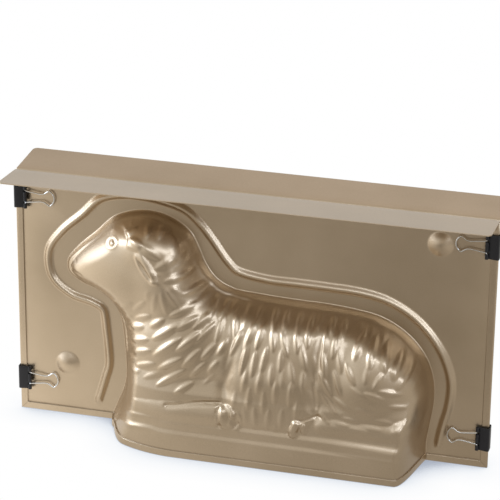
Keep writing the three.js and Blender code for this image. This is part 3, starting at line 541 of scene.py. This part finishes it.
def relief(x, z):
    """Depth of the pressed lamb without wool, and the wool's height."""
    inset = distance(x, z, RING)
    within = inside(x, z, RING)
    breast = (1 - rising(x, BREAST_X)) * (1 - rising(z, BREAST_Z))
    low = (1 - rising(z, LOW_BREAST_Z)) * breast
    neck = (1 - rising(x, NECK_X)) * rising(z, NECK_Z)
    face = (1 - rising(x, FACE_X)) * rising(z, FACE_Z)
    foot = CORNER_FOOT_SHARE + (1 - CORNER_FOOT_SHARE) * rising(z, CORNER_FOOT_Z)
    corner = rising(x, CORNER_X) * (1 - rising(z, CORNER_Z)) * foot
    back = rising(z, BACK_Z)
    slope = WALL_RISE - BREAST_EASE * breast - BACK_EASE * back - NECK_EASE * neck - FACE_EASE * face
    slope += LOW_BREAST_RISE * low
    fillet = slope * inset ** 2 / (2 * FOOT_FILLET)
    wall = np.where(inset < FOOT_FILLET, fillet, slope * (inset - FOOT_FILLET / 2))
    blend = WALL_BLEND + CORNER_BLEND * np.maximum(breast, corner) + BACK_BLEND * back * (1 - face)
    blend = np.minimum(blend + LOW_BREAST_BLEND * low, 2 * wall)
    depth = smooth_min(wall, body(x, z), blend) + features(x, z) * rising(inset, FEATURE_INSET)
    for height, width, *points in CORNER_RIDGES:
        ridge = height * np.exp(-(distance(x, z, smooth_line(points, RIDGE_STEPS)) / width) ** 2)
        depth += ridge * rising(inset, RIDGE_INSET) * (1 - rising(x, RIDGE_END))
    depth = np.where(within, np.maximum(0, depth), 0)
    share = np.where(within, wool_share(x, z, inset), 0)
    return depth, (wool(x, z) + CROWN_FLEECE * rising(z, CROWN_Z)) * share


def locators(x, z):
    """Height of the bead, which is steeper towards the lamb and ends in round caps, and of the domes."""
    line = BEAD[BEAD[:, 1] > BEAD_END]
    stretch = np.where(inside(x, z, np.vstack([line, line[:1]])), BEAD_STRETCH[1], BEAD_STRETCH[0])
    away = distance(x, z, line) * stretch / (BEAD_WIDTH / 2)
    bead = np.where(away < 1, BEAD_HEIGHT * np.cos(away * math.pi / 2) ** BEAD_ROUNDNESS, 0)
    near = np.min([np.hypot(x - cx, z - cz) / DOME_RADIUS for cx, cz in DOMES], axis=0)
    return np.maximum(bead, DOME_HEIGHT * np.maximum(0, 1 - near ** 2) ** DOME_ROUNDNESS)


# Mesh of a half. Distances in from the border and from the outline, and shares of half the bead's width and
# of a dome's radius, at which it has rows of points.
BORDER_STEPS = (0, 0.05, 0.15, 0.3, 0.6, 2.2, 3.9, 4.08, 4.2, 4.32, 4.5)
WALL_INSETS = (-1.2, -0.6, -0.25, 0, 0.25, 0.5, 0.8, 1.1, 1.4, 1.75, 2.1, 2.5, 3.0, 3.6, 4.3)
BEAD_ROWS = (-1.15, -1, -0.8, -0.6, -0.4, -0.2, 0, 0.2, 0.4, 0.6, 0.8, 1, 1.15)
DOME_ROWS = (0, 0.2, 0.4, 0.55, 0.7, 0.82, 0.92, 1, 1.08)
DOME_SIDES = 48
MITRE_ROWS = (-0.15, 0, 0.15)
MITRE_RUN = (0.7, 3.8)

# Spacing of its points on the plain plate, up its sides, along the rim beside and between the lamb's feet,
# over the lamb, and where the plinth's ledge turns, and how many of them go round the lamb
PLATE_END = 138
PLATE_SPACING = 6.0
SIDE_START = 10
SIDE_SPACING = 8.0
NEAR_FEET = (-104, 126)
FEET_GAP = 1.4
BETWEEN_FEET = (5, 4.6)
BESIDE_SPACING = 1.3
BETWEEN_SPACING = 1.5
WALL_COUNT = 430
LAMB_SPACING = 0.85
LAMB_X = (-113, 112)
LAMB_Z = (5.4, 140)
ROW_SHARE = 0.866
LEDGE_SPACING = (1.1, 0.42)
LEDGE_X = (-86, 109)
LEDGE_Z = (14.2, 24.6)
LEDGE_MARGIN = 0.2
LAMB_MARGIN = 4.8
ABOVE_HEM = 4.9
SLIVER_AREA = 1e-7


def normals_of(line):
    """Directions square to a flat line, towards the lamb."""
    along = np.gradient(line, axis=0)
    along /= np.linalg.norm(along, axis=1)[:, None]
    return np.column_stack([along[:, 1], -along[:, 0]])


def row_of(xs, z):
    """A row of points with one height."""
    return np.column_stack([xs, np.full(len(xs), z)])


def border_points(fine):
    """Points along the rim, the sides, the flange's foot and the hem's mitres."""
    side = HALF_WIDTH - np.array(BORDER_STEPS)
    left, right = ARCH[0, 0], ARCH[-1, 0]
    insets = np.array(WALL_INSETS)
    rim = np.concatenate([
        -side, side,
        np.arange(-PLATE_END, NEAR_FEET[0], PLATE_SPACING),
        np.arange(NEAR_FEET[0], left - FEET_GAP, BESIDE_SPACING),
        np.arange(right + FEET_GAP, NEAR_FEET[1], BESIDE_SPACING),
        np.arange(NEAR_FEET[1] + 2, PLATE_END + 1, PLATE_SPACING),
        left + insets, right - insets,
        np.arange(left + BETWEEN_FEET[0], right - BETWEEN_FEET[1], BETWEEN_SPACING * fine),
    ])
    rows = [row_of(rim, z) for z in BORDER_STEPS]
    heights = np.arange(SIDE_START, FLANGE_FOOT - 2, SIDE_SPACING)
    rows += [row_of(heights, x)[:, ::-1] for x in (*-side, *side)]
    plain = np.arange(-PLATE_END, PLATE_END + 0.1, PLATE_SPACING)
    rows.append(row_of(np.concatenate([-side, side, plain]), FLANGE_FOOT))
    along = np.linspace(*MITRE_RUN, 6)
    for sign in (-1, 1):
        for off in MITRE_ROWS:
            rows.append(np.column_stack([sign * (HALF_WIDTH - along - off), along - off]))
    return rows


def pressed_points(fine):
    """Points along the bead and the foot of the walls, and round the domes."""
    rows = []
    normal = normals_of(BEAD)
    for share in BEAD_ROWS:
        rows.append((BEAD + normal * share * BEAD_WIDTH / 2)[::2])
    arch = even_line(ARCH, int(WALL_COUNT / fine))
    normal = normals_of(arch)
    for inset in WALL_INSETS:
        rows.append(arch + normal * inset)
    rows = [row[row[:, 1] > ABOVE_HEM] for row in rows]
    turn = np.linspace(0, 2 * math.pi, DOME_SIDES, endpoint=False)
    for cx, cz in DOMES:
        for share in DOME_ROWS:
            radius = share * DOME_RADIUS
            angles = turn if share else turn[:1]
            rows.append(np.column_stack([cx + radius * np.cos(angles), cz + radius * np.sin(angles)]))
    return rows


def lamb_points(fine):
    """Even points over the lamb, and closer rows where the plinth's ledge turns."""
    pitch = LAMB_SPACING * fine
    rows = []
    for i, z in enumerate(np.arange(*LAMB_Z, pitch * ROW_SHARE)):
        if not LEDGE_Z[0] - LEDGE_MARGIN <= z <= LEDGE_Z[1] + LEDGE_MARGIN:
            rows.append(row_of(np.arange(LAMB_X[0] + (i % 2) * pitch / 2, LAMB_X[1], pitch), z))
    for z in np.arange(*LEDGE_Z, LEDGE_SPACING[1] * fine):
        rows.append(row_of(np.arange(*LEDGE_X, LEDGE_SPACING[0] * fine), z))
    points = np.vstack(rows)
    x, z = points.T
    return points[inside(x, z, RING) & (distance(x, z, RING) > LAMB_MARGIN)]


def layout(fine):
    """Flat triangulation of one half below its flange: points and triangles."""
    points = np.vstack([*border_points(fine), *pressed_points(fine), lamb_points(fine)])
    points = np.unique(np.round(points, 4), axis=0)
    result = geometry.delaunay_2d_cdt([Vector(p) for p in points], [], [], 0, 1e-5)
    flat = np.array([tuple(v) for v in result[0]])
    triangles = np.array(result[2])
    a, b, c = (flat[triangles[:, i]] for i in range(3))
    area = (b[:, 0] - a[:, 0]) * (c[:, 1] - a[:, 1]) - (c[:, 0] - a[:, 0]) * (b[:, 1] - a[:, 1])
    triangles = triangles[np.abs(area) > SLIVER_AREA]
    area = area[np.abs(area) > SLIVER_AREA]
    triangles[area < 0] = triangles[area < 0][:, ::-1]
    return flat, triangles


def vertex_normals(points, triangles):
    """Directions square to a surface at its points."""
    a, b, c = (points[triangles[:, i]] for i in range(3))
    face = np.cross(b - a, c - a)
    total = np.zeros(points.shape)
    for i in range(3):
        np.add.at(total, triangles[:, i], face)
    size = np.linalg.norm(total, axis=1)
    size[size == 0] = 1
    return total / size[:, None]


# Flange: steps round its bend, and distances of its rows from the free edge
BEND_STEPS = 10
FLANGE_ROWS = (24, 18, 12, 8, 5.5, 3.2, 2.4, 1.7, 1.1, 0.6, 0.3, 0.15, 0.05, 0)


def flange_profile():
    """Points, outward normals and distances to the free edge along the flange's lower face."""
    centre = np.array([HALF_GAP + SHEET + FLANGE_BEND, FLANGE_FOOT])
    rows = []
    for i in range(1, BEND_STEPS + 1):
        turn = math.pi - i / BEND_STEPS * (math.pi / 2 - FLANGE_SLOPE)
        ray = np.array([math.cos(turn), math.sin(turn)])
        rows.append((centre + ray * FLANGE_BEND, -ray, None))
    along = np.array([math.cos(FLANGE_SLOPE), math.sin(FLANGE_SLOPE)])
    start, normal = rows[-1][0], rows[-1][1]
    run = FLANGE_DEPTH - centre[0]
    for left in FLANGE_ROWS:
        rows.append((start + along * (run - left), normal, left))
    return rows


# Hem: where its free edge starts to drop and over what run, then the groove along that edge and the painted
# shade in it, each with its place, half width and strength, and the mitres at the corners, with their
# painted shade
HEM_DROP = (4.12, 0.12)
GROOVE = (4.32, 0.1, 0.08)
GROOVE_SHADE = (4.26, 0.11, 0.6)
MITRE_ENDS = (0.55, 4.0)
MITRE_HALF_WIDTH = 0.17
MITRE_DEPTH = 0.08
MITRE_SHADE = 0.5


def fold(away, radius):
    """How thick a rounded edge is at a distance from its end."""
    return radius * np.sqrt(np.maximum(0, 1 - (1 - np.minimum(away, radius) / radius) ** 2))


def hem_relief(x, z):
    """How far the outer and the inner face lie from the sheet's outer face, and how much painted shade the
    fold gets.
    """
    to_side, to_rim = HALF_WIDTH - np.abs(x), z
    border = np.minimum(to_side, to_rim)
    hem = 1 - np.clip((border - HEM_DROP[0]) / HEM_DROP[1], 0, 1)
    groove = GROOVE[2] * np.exp(-((border - GROOVE[0]) / GROOVE[1]) ** 2)
    mitre = np.where(border < MITRE_ENDS[1], np.exp(-((to_side - to_rim) / MITRE_HALF_WIDTH) ** 2), 0)
    rise = np.where(border < SHEET, fold(border, SHEET), SHEET * hem - groove)
    rise = rise - MITRE_DEPTH * mitre * (border > MITRE_ENDS[0])
    sink = np.where(border < SHEET, fold(border, SHEET), SHEET)
    # Painted shade along the groove at the hem's folded edge and along the mitres, where the gap under the
    # fold lies
    fold_shade = GROOVE_SHADE[2] * np.exp(-((border - GROOVE_SHADE[0]) / GROOVE_SHADE[1]) ** 2)
    return rise, sink, np.clip(fold_shade + mitre * MITRE_SHADE, 0, 1)


def half_mesh(side, flat, triangles, depth, locks):
    """One pressed half as a closed sheet of even thickness."""
    x, z = flat[:, 0], flat[:, 1]
    locator = locators(x, z)
    stand = depth + (locator if side < 0 else -NEST * locator)
    base = np.column_stack([x, side * (HALF_GAP + SHEET + stand), z])
    order = triangles if side < 0 else triangles[:, ::-1]
    base = base + vertex_normals(base, order) * locks[:, None]
    normals = [vertex_normals(base, order)]
    bases = [base]
    rise, sink, fold_shade = hem_relief(x, z)
    rises, sinks = [rise], [sink]

    # Flange, row by row from the plate's top
    top = np.flatnonzero(np.abs(z - FLANGE_FOOT) < 1e-4)
    top = top[np.argsort(x[top])]
    rings = [top]
    count = len(base)
    for (reach, height), (out, up), left in flange_profile():
        half = HALF_WIDTH
        if left is not None and left < FLANGE_CORNER:
            half -= FLANGE_CORNER - math.sqrt(FLANGE_CORNER ** 2 - (FLANGE_CORNER - left) ** 2)
        xs = x[top] / HALF_WIDTH * half
        away = half - np.abs(xs)
        if left is not None:
            away = np.minimum(away, left)
        bases.append(np.column_stack([xs, np.full(len(xs), side * reach), np.full(len(xs), height)]))
        normals.append(np.tile((0, side * out, up), (len(xs), 1)))
        rises.append(fold(away, SHEET / 2) - SHEET / 2)
        sinks.append(fold(away, SHEET / 2) + SHEET / 2)
        rings.append(np.arange(count, count + len(xs)))
        count += len(xs)
    base = np.vstack(bases)
    normal = np.vstack(normals)
    rise = np.concatenate(rises)
    sink = np.concatenate(sinks)
    strips = []
    for low, high in zip(rings, rings[1:]):
        for i in range(1, len(low)):
            strips += [(low[i - 1], low[i], high[i]), (low[i - 1], high[i], high[i - 1])]
    strips = np.array(strips)
    faces = np.vstack([order, strips if side < 0 else strips[:, ::-1]])

    # Both faces of the sheet, which share their points along its edges
    outer = base + normal * rise[:, None]
    inner = base - normal * sink[:, None]
    edge = np.abs(rise + sink) < 1e-6
    index = np.where(edge, np.arange(len(base)), -1)
    index[~edge] = len(base) + np.arange((~edge).sum())
    verts = np.vstack([outer, inner[~edge]])
    # Painted shade of the hem's fold lines, none on the inner face
    fold_shade = np.concatenate([fold_shade, np.zeros(len(verts) - len(fold_shade))])
    return verts, np.vstack([faces, index[faces][:, ::-1]]), fold_shade


def make_object(name, verts, faces):
    """A smooth piece from points in millimetres and faces."""
    mesh = bpy.data.meshes.new(name)
    mesh.from_pydata((np.asarray(verts) * MM).tolist(), [], faces)
    mesh.update()
    mesh.polygons.foreach_set("use_smooth", [True] * len(mesh.polygons))
    piece = bpy.data.objects.new(name, mesh)
    bpy.context.scene.collection.objects.link(piece)
    return piece


# Materials
def new_material(name, settings):
    material = bpy.data.materials.new(name)
    material.use_nodes = True
    shader = material.node_tree.nodes["Principled BSDF"]
    for socket, value in settings.items():
        shader.inputs[socket].default_value = value
    return material, material.node_tree, shader


def noise(tree, scale, detail):
    """Noise in the piece's own coordinates."""
    where = tree.nodes.new("ShaderNodeTexCoord")
    node = tree.nodes.new("ShaderNodeTexNoise")
    node.inputs["Scale"].default_value = scale
    node.inputs["Detail"].default_value = detail
    tree.links.new(where.outputs["Object"], node.inputs["Vector"])
    return node.outputs["Fac"]


def two_tone(tree, value, dark, light, low=0.0, high=1.0):
    """A blend of two colours, from the dark one below low to the light one above high."""
    node = tree.nodes.new("ShaderNodeValToRGB")
    for stop, position, colour in zip(node.color_ramp.elements, (low, high), (dark, light)):
        stop.position = position
        stop.color = (*colour, 1)
    tree.links.new(value, node.inputs["Fac"])
    return node.outputs["Color"]


def roughen(tree, shader, value, low, high):
    """Roughness between two limits, led by a noise."""
    node = tree.nodes.new("ShaderNodeMapRange")
    node.inputs["To Min"].default_value = low
    node.inputs["To Max"].default_value = high
    tree.links.new(value, node.inputs["Value"])
    tree.links.new(node.outputs["Result"], shader.inputs["Roughness"])


def emboss(tree, shader, value, strength, depth):
    """Bump of a depth in metres, led by a noise."""
    node = tree.nodes.new("ShaderNodeBump")
    node.inputs["Strength"].default_value = strength
    node.inputs["Distance"].default_value = depth
    tree.links.new(value, node.inputs["Height"])
    tree.links.new(node.outputs["Normal"], shader.inputs["Normal"])


def coated_sheet():
    """Champagne coloured baking coat over steel: fine metallic grain, soft clouds and painted shade along
    the hem's fold lines.
    """
    material, tree, shader = new_material("champagne_coating", {
        "Metallic": 1.0, "Coat Weight": 0.25, "Coat Roughness": 0.12, "Coat IOR": 1.45,
    })
    grain = noise(tree, 2600, 2)
    cloud = noise(tree, 18, 4)
    speckle = tree.nodes.new("ShaderNodeMix")
    speckle.data_type = "RGBA"
    speckle.blend_type = "MULTIPLY"
    speckle.inputs["Factor"].default_value = 0.35
    tint = two_tone(tree, cloud, (0.50, 0.393, 0.268), (0.58, 0.462, 0.326), 0.3, 0.7)
    tree.links.new(tint, speckle.inputs["A"])
    tree.links.new(two_tone(tree, grain, (0.7, 0.7, 0.7), (1, 1, 1), 0.35, 0.62), speckle.inputs["B"])
    # Painted shade: the hem's fold lines and mitres are darkened through a point attribute
    painted_fold_shade = tree.nodes.new("ShaderNodeAttribute")
    painted_fold_shade.attribute_name = "painted_fold_shade"
    fold_shade_mix = tree.nodes.new("ShaderNodeMix")
    fold_shade_mix.data_type = "RGBA"
    fold_shade_mix.inputs["B"].default_value = (0.10, 0.07, 0.045, 1)
    tree.links.new(painted_fold_shade.outputs["Fac"], fold_shade_mix.inputs["Factor"])
    tree.links.new(speckle.outputs["Result"], fold_shade_mix.inputs["A"])
    tree.links.new(fold_shade_mix.outputs["Result"], shader.inputs["Base Color"])
    roughen(tree, shader, cloud, 0.30, 0.38)
    emboss(tree, shader, grain, 0.12, 0.00006)
    return material


def black_spring():
    """Baked black enamel on spring steel, a little uneven."""
    material, tree, shader = new_material("black_enamel", {
        "Coat Weight": 0.15, "Coat Roughness": 0.25, "Specular IOR Level": 0.3,
    })
    peel = noise(tree, 900, 3)
    tint = two_tone(tree, peel, (0.006, 0.006, 0.007), (0.014, 0.013, 0.015))
    tree.links.new(tint, shader.inputs["Base Color"])
    roughen(tree, shader, peel, 0.32, 0.5)
    emboss(tree, shader, peel, 0.25, 0.00005)
    return material


def nickel_wire():
    """Bright nickel wire with drawing marks."""
    material, tree, shader = new_material("nickel_plating", {"Metallic": 1.0})
    marks = noise(tree, 1500, 3)
    tint = two_tone(tree, marks, (0.52, 0.50, 0.47), (0.74, 0.72, 0.68))
    tree.links.new(tint, shader.inputs["Base Color"])
    roughen(tree, shader, marks, 0.08, 0.18)
    return material


COATING = coated_sheet()
ENAMEL = black_spring()
NICKEL = nickel_wire()

# Pressed halves
flat, triangles = layout(1.0)
depth, locks = relief(flat[:, 0], flat[:, 1])
for name, side in (("front_mould_half", -1), ("rear_mould_half", 1)):
    verts, faces, fold_shade = half_mesh(side, flat, triangles, depth, locks)
    piece = make_object("pressed_" + name, verts, faces.tolist())
    # The point attribute holds the painted shade of the hem's fold lines and mitres
    painted_fold_shade = piece.data.attributes.new("painted_fold_shade", "FLOAT", "POINT")
    painted_fold_shade.data.foreach_set("value", fold_shade)
    piece.data.materials.append(COATING)
    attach(piece, "mould")
    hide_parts(name)


def strip_line():
    """Middle line of a clip's strip, from the curl at one jaw's mouth round the spine to the other."""
    back = CLIP_CLEARANCE + CLIP_SHEET / 2
    bend = []
    for angle in np.linspace(math.pi, math.pi / 2, 6):
        inwards, down = CLIP_BEND * (1 + math.cos(angle)), CLIP_BEND * (1 - math.sin(angle))
        bend.append((inwards - back, SPINE_HALF - down))
    curl = []
    for angle in np.radians(-90 + np.linspace(0, CURL_TURN, 25)):
        curl.append((CLIP_REACH + CURL_RADIUS * math.cos(angle), HINGE_HALF + CURL_RADIUS * math.sin(angle)))
    bend, curl = np.array(bend), np.array(curl)
    jaw = [bend[-1] + (curl[0] - bend[-1]) * share for share in JAW_SHARES]
    upper = np.vstack([bend, jaw, curl])
    spine = [(-back, row) for row in SPINE_ROWS]
    return np.vstack([(upper * (1, -1))[::-1], spine, upper])


def clip_spring(name, place):
    """Bent strip with curled mouth ends, notched where the handle's legs leave them."""
    path = strip_line()
    verts = [(*point, row) for point in path for row in CLIP_ROWS]
    in_curl = np.abs(path[:, 0] - CLIP_REACH) < 2 * CURL_RADIUS
    faces = []
    for i in range(1, len(path)):
        for j in range(1, len(CLIP_ROWS)):
            notched = NOTCH[0] < abs(CLIP_ROWS[j] + CLIP_ROWS[j - 1]) / 2 < NOTCH[1]
            if notched and in_curl[i] and in_curl[i - 1]:
                continue
            a, b = (i - 1) * len(CLIP_ROWS), i * len(CLIP_ROWS)
            faces.append((a + j - 1, a + j, b + j, b + j - 1))
    used = sorted({v for face in faces for v in face})
    renumber = {v: i for i, v in enumerate(used)}
    piece = make_object(name, [verts[v] for v in used], [[renumber[v] for v in face] for face in faces])
    piece.data.transform(place)
    thick = piece.modifiers.new("sheet", "SOLIDIFY")
    thick.thickness = CLIP_SHEET * MM
    thick.offset = 0
    thick.use_even_offset = True
    soft = piece.modifiers.new("edges", "BEVEL")
    soft.width = CLIP_EDGE * MM
    soft.segments = 2
    soft.limit_method = "ANGLE"
    soft.angle_limit = math.radians(50)
    return piece


def tube(name, line, radius, sides=14):
    """Round wire along a line, with domed ends."""
    along = np.gradient(line, axis=0)
    along /= np.linalg.norm(along, axis=1)[:, None]
    across = np.array([0.0, 1.0, 0.0])
    turn = np.linspace(0, 2 * math.pi, sides, endpoint=False)
    last = len(line) - 1
    rings = [(0, -shift, share) for shift, share in TIP_SHARES]
    rings += [(i, 0, 1) for i in range(len(line))]
    rings += [(last, shift, share) for shift, share in reversed(TIP_SHARES)]
    verts, faces = [], []
    for i, shift, share in rings:
        side = np.cross(along[i], across)
        side /= np.linalg.norm(side)
        centre = line[i] + along[i] * shift * radius
        ring = centre + radius * share * (np.outer(np.cos(turn), across) + np.outer(np.sin(turn), side))
        verts += ring.tolist()
    for r in range(1, len(rings)):
        a, b = (r - 1) * sides, r * sides
        for j in range(sides):
            k = (j + 1) % sides
            faces.append((a + j, b + j, b + k, a + k))
    faces.append(tuple(range(sides)))
    faces.append(tuple((len(rings) - 1) * sides + j for j in reversed(range(sides))))
    return make_object(name, verts, faces)


def handle_line():
    """Centre line of a wire handle, from one pin round its tip to the other."""
    half = [*HANDLE_PIN, *((share * HANDLE_REACH, off) for share, off in HANDLE_SHARES)]
    knots = [(a, 0, b) for a, b in half] + [(HANDLE_REACH, 0, 0)] + [(a, 0, -b) for a, b in reversed(half)]
    return smooth_line(knots, HANDLE_STEPS)


# Clips
for stem, side, height in CLIPS:
    place = Matrix.Translation((side * HALF_WIDTH * MM, 0, height * MM))
    place = place @ Matrix.Rotation(math.pi if side > 0 else 0, 4, "Z")
    spring = clip_spring("bent_" + stem + "_spring", place)
    spring.data.materials.append(ENAMEL)
    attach(spring, stem)
    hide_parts(stem + "_spring")
    for face, facing in (("front", side), ("rear", -side)):
        node = f"{stem}_{face}_handle"
        wire = tube("wire_" + node, handle_line(), WIRE_RADIUS)
        hinge = place @ Matrix.Translation((CLIP_REACH * MM, facing * HINGE_HALF * MM, 0))
        wire.data.transform(hinge @ Matrix.Rotation(-facing * LEAN, 4, "Z"))
        wire.data.materials.append(NICKEL)
        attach(wire, node)
        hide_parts(node)


# Floor, world, lamps and camera
def ramp(nodes, reach, stops):
    """A map of a coordinate's reach and the colours along it; a plain number stands for a grey."""
    spread = nodes.new("ShaderNodeMapRange")
    spread.inputs["From Min"].default_value, spread.inputs["From Max"].default_value = reach
    colours = nodes.new("ShaderNodeValToRGB")
    nodes.id_data.links.new(spread.outputs["Result"], colours.inputs["Fac"])
    for position, _ in stops[1:-1]:
        colours.color_ramp.elements.new(position)
    for stop, (_, value) in zip(colours.color_ramp.elements, stops):
        stop.color = (*value, 1) if isinstance(value, tuple) else (value, value, value, 1)
    return spread, colours


def stage_plane():
    mesh = bpy.data.meshes.new("floor")
    reach = 6.0
    corners = [(-reach, -reach, 0), (reach, -reach, 0), (reach, reach, 0), (-reach, reach, 0)]
    mesh.from_pydata(corners, [], [(0, 1, 2, 3)])
    floor = bpy.data.objects.new("floor", mesh)
    bpy.context.scene.collection.objects.link(floor)
    material = bpy.data.materials.new("floor_white")
    material.use_nodes = True
    nodes, links = material.node_tree.nodes, material.node_tree.links
    nodes.remove(nodes["Principled BSDF"])
    path = nodes.new("ShaderNodeLightPath")

    # Evenly white, but for the soft grey shade close to the mould
    shade = nodes.new("ShaderNodeAmbientOcclusion")
    shade.samples = 12
    shade.inputs["Distance"].default_value = 0.028
    tone = ramp(nodes, (0.0, 1.0), (
        (0.0, (0.3, 0.34, 0.42)), (0.4, (0.42, 0.46, 0.54)), (0.5, (0.74, 0.78, 0.84)),
        (0.75, (0.93, 0.945, 0.965)), (1.0, 1.0),
    ))
    lit = nodes.new("ShaderNodeEmission")

    # In reflections it falls off away from the mould, brighter at the near left and a little at both ends
    where = nodes.new("ShaderNodeTexCoord")
    split = nodes.new("ShaderNodeSeparateXYZ")
    even = ramp(nodes, (-1.2, 0.0), ((0.0, 0.10), (0.5, 0.22), (0.72, 0.33), (1.0, 0.38)))
    near = ramp(nodes, (-0.7, 0.0), (
        (0.0, 0.08), (0.5, 0.20), (0.66, 0.30), (0.79, 0.40), (0.9, 0.68), (1.0, 0.80),
    ))
    left = ramp(nodes, (-0.4, 0.3), ((0.0, 1.1), (0.35, 1.0), (0.48, 0.55), (0.62, 0.2), (1.0, 0.0)))
    far = ramp(nodes, (-0.7, 0.5), (
        (0.0, 0.7), (0.21, 0.5), (0.42, 0.0), (0.7, 0.0), (0.8, 0.25), (1.0, 0.3),
    ))
    extra = nodes.new("ShaderNodeMath")
    extra.operation = "MULTIPLY_ADD"
    mirror = nodes.new("ShaderNodeEmission")
    mirror.inputs["Color"].default_value = (1.0, 0.92, 0.82, 1)
    brighter = nodes.new("ShaderNodeEmission")
    brighter.inputs["Color"].default_value = (1.0, 1.0, 0.98, 1)
    both = nodes.new("ShaderNodeAddShader")
    first = nodes.new("ShaderNodeMixShader")
    links.new(where.outputs["Object"], split.inputs["Vector"])
    for (spread, _), axis in ((even, "Y"), (near, "Y"), (left, "X"), (far, "X")):
        links.new(split.outputs[axis], spread.inputs["Value"])
    links.new(even[1].outputs["Color"], mirror.inputs["Strength"])
    links.new(near[1].outputs["Color"], extra.inputs[0])
    links.new(left[1].outputs["Color"], extra.inputs[1])
    links.new(far[1].outputs["Color"], extra.inputs[2])
    links.new(extra.outputs[0], brighter.inputs["Strength"])
    links.new(mirror.outputs[0], both.inputs[0])
    links.new(brighter.outputs[0], both.inputs[1])
    links.new(shade.outputs["AO"], tone[0].inputs["Value"])
    links.new(tone[1].outputs["Color"], lit.inputs["Color"])
    links.new(path.outputs["Is Glossy Ray"], first.inputs["Fac"])
    links.new(lit.outputs[0], first.inputs[1])
    links.new(both.outputs[0], first.inputs[2])
    links.new(first.outputs[0], nodes["Material Output"].inputs["Surface"])
    mesh.materials.append(material)


def lamp(name, place, target, size, power, tint):
    """A rectangular lamp that faces its target."""
    data = bpy.data.lights.new(name, "AREA")
    data.shape = "RECTANGLE"
    data.size, data.size_y = size
    data.energy = power
    data.color = tint
    light = bpy.data.objects.new(name, data)
    light.location = place
    light.rotation_euler = (Vector(target) - Vector(place)).to_track_quat("-Z", "Y").to_euler()
    bpy.context.scene.collection.objects.link(light)


def world():
    scene_world = bpy.data.worlds.new("studio")
    bpy.context.scene.world = scene_world
    scene_world.use_nodes = True
    nodes, links = scene_world.node_tree.nodes, scene_world.node_tree.links
    background = nodes["Background"]
    where = nodes.new("ShaderNodeTexCoord")
    split = nodes.new("ShaderNodeSeparateXYZ")
    front = ramp(nodes, (-1.0, 1.0), (
        (0.0, (1.34, 1.42, 1.56)), (0.25, (0.92, 0.94, 0.96)), (0.5, (0.56, 0.52, 0.46)),
        (0.75, (0.52, 0.48, 0.43)), (1.0, (0.50, 0.47, 0.43)),
    ))
    behind = ramp(nodes, (0.0, 0.8), (
        (0.0, (0.86, 0.92, 0.98)), (0.3, (0.80, 0.84, 0.88)), (0.6, (0.70, 0.63, 0.57)),
        (1.0, (0.74, 0.68, 0.62)),
    ))
    side = nodes.new("ShaderNodeMapRange")
    side.interpolation_type = "SMOOTHSTEP"
    side.inputs["From Min"].default_value = 0.1
    side.inputs["From Max"].default_value = 0.7
    studio = nodes.new("ShaderNodeMix")
    studio.data_type = "RGBA"
    path = nodes.new("ShaderNodeLightPath")
    seen = nodes.new("ShaderNodeMix")
    seen.data_type = "RGBA"
    seen.inputs["B"].default_value = (1, 1, 1, 1)
    links.new(where.outputs["Generated"], split.inputs["Vector"])
    links.new(split.outputs["X"], front[0].inputs["Value"])
    links.new(split.outputs["Z"], behind[0].inputs["Value"])
    links.new(split.outputs["Y"], side.inputs["Value"])
    links.new(side.outputs["Result"], studio.inputs["Factor"])
    links.new(front[1].outputs["Color"], studio.inputs["A"])
    links.new(behind[1].outputs["Color"], studio.inputs["B"])
    links.new(studio.outputs["Result"], seen.inputs["A"])
    links.new(path.outputs["Is Camera Ray"], seen.inputs["Factor"])
    links.new(seen.outputs["Result"], background.inputs["Color"])


stage_plane()
world()
lamp("left softbox", (-1.7, -0.25, 0.6), (0, 0, 0.08), (1.5, 1.1), 7.5, (0.9, 1.0, 1.18))
lamp("left key", (-1.49, -0.4, 0.8), (0, 0, 0.08), (0.6, 0.5), 5.5, (0.82, 1.0, 1.3))
lamp("front softbox", (0.5, -1.0, 1.21), (0, 0, 0.08), (1.6, 0.35), 5.5, (0.86, 1.0, 1.25))
lamp("right softbox", (1.25, -0.9, 0.75), (0.05, 0, 0.08), (0.6, 0.4), 3.2, (0.86, 1.0, 1.25))

# The camera is fitted to the plates' corners, the flange and the plinth in the photo
camera_data = bpy.data.cameras.new("camera")
camera_data.lens = 172.21
camera_data.sensor_width = 36
camera_data.clip_end = 50
camera = bpy.data.objects.new("camera", camera_data)
camera.matrix_world = Matrix((
    (0.96504, -0.10857, 0.23857, 0.33198),
    (0.26189, 0.36160, -0.89480, -1.24852),
    (0.01088, 0.92600, 0.37739, 0.64736),
    (0, 0, 0, 1),
))
bpy.context.scene.collection.objects.link(camera)
bpy.context.scene.camera = camera
bpy.context.scene.view_settings.view_transform = "Standard"
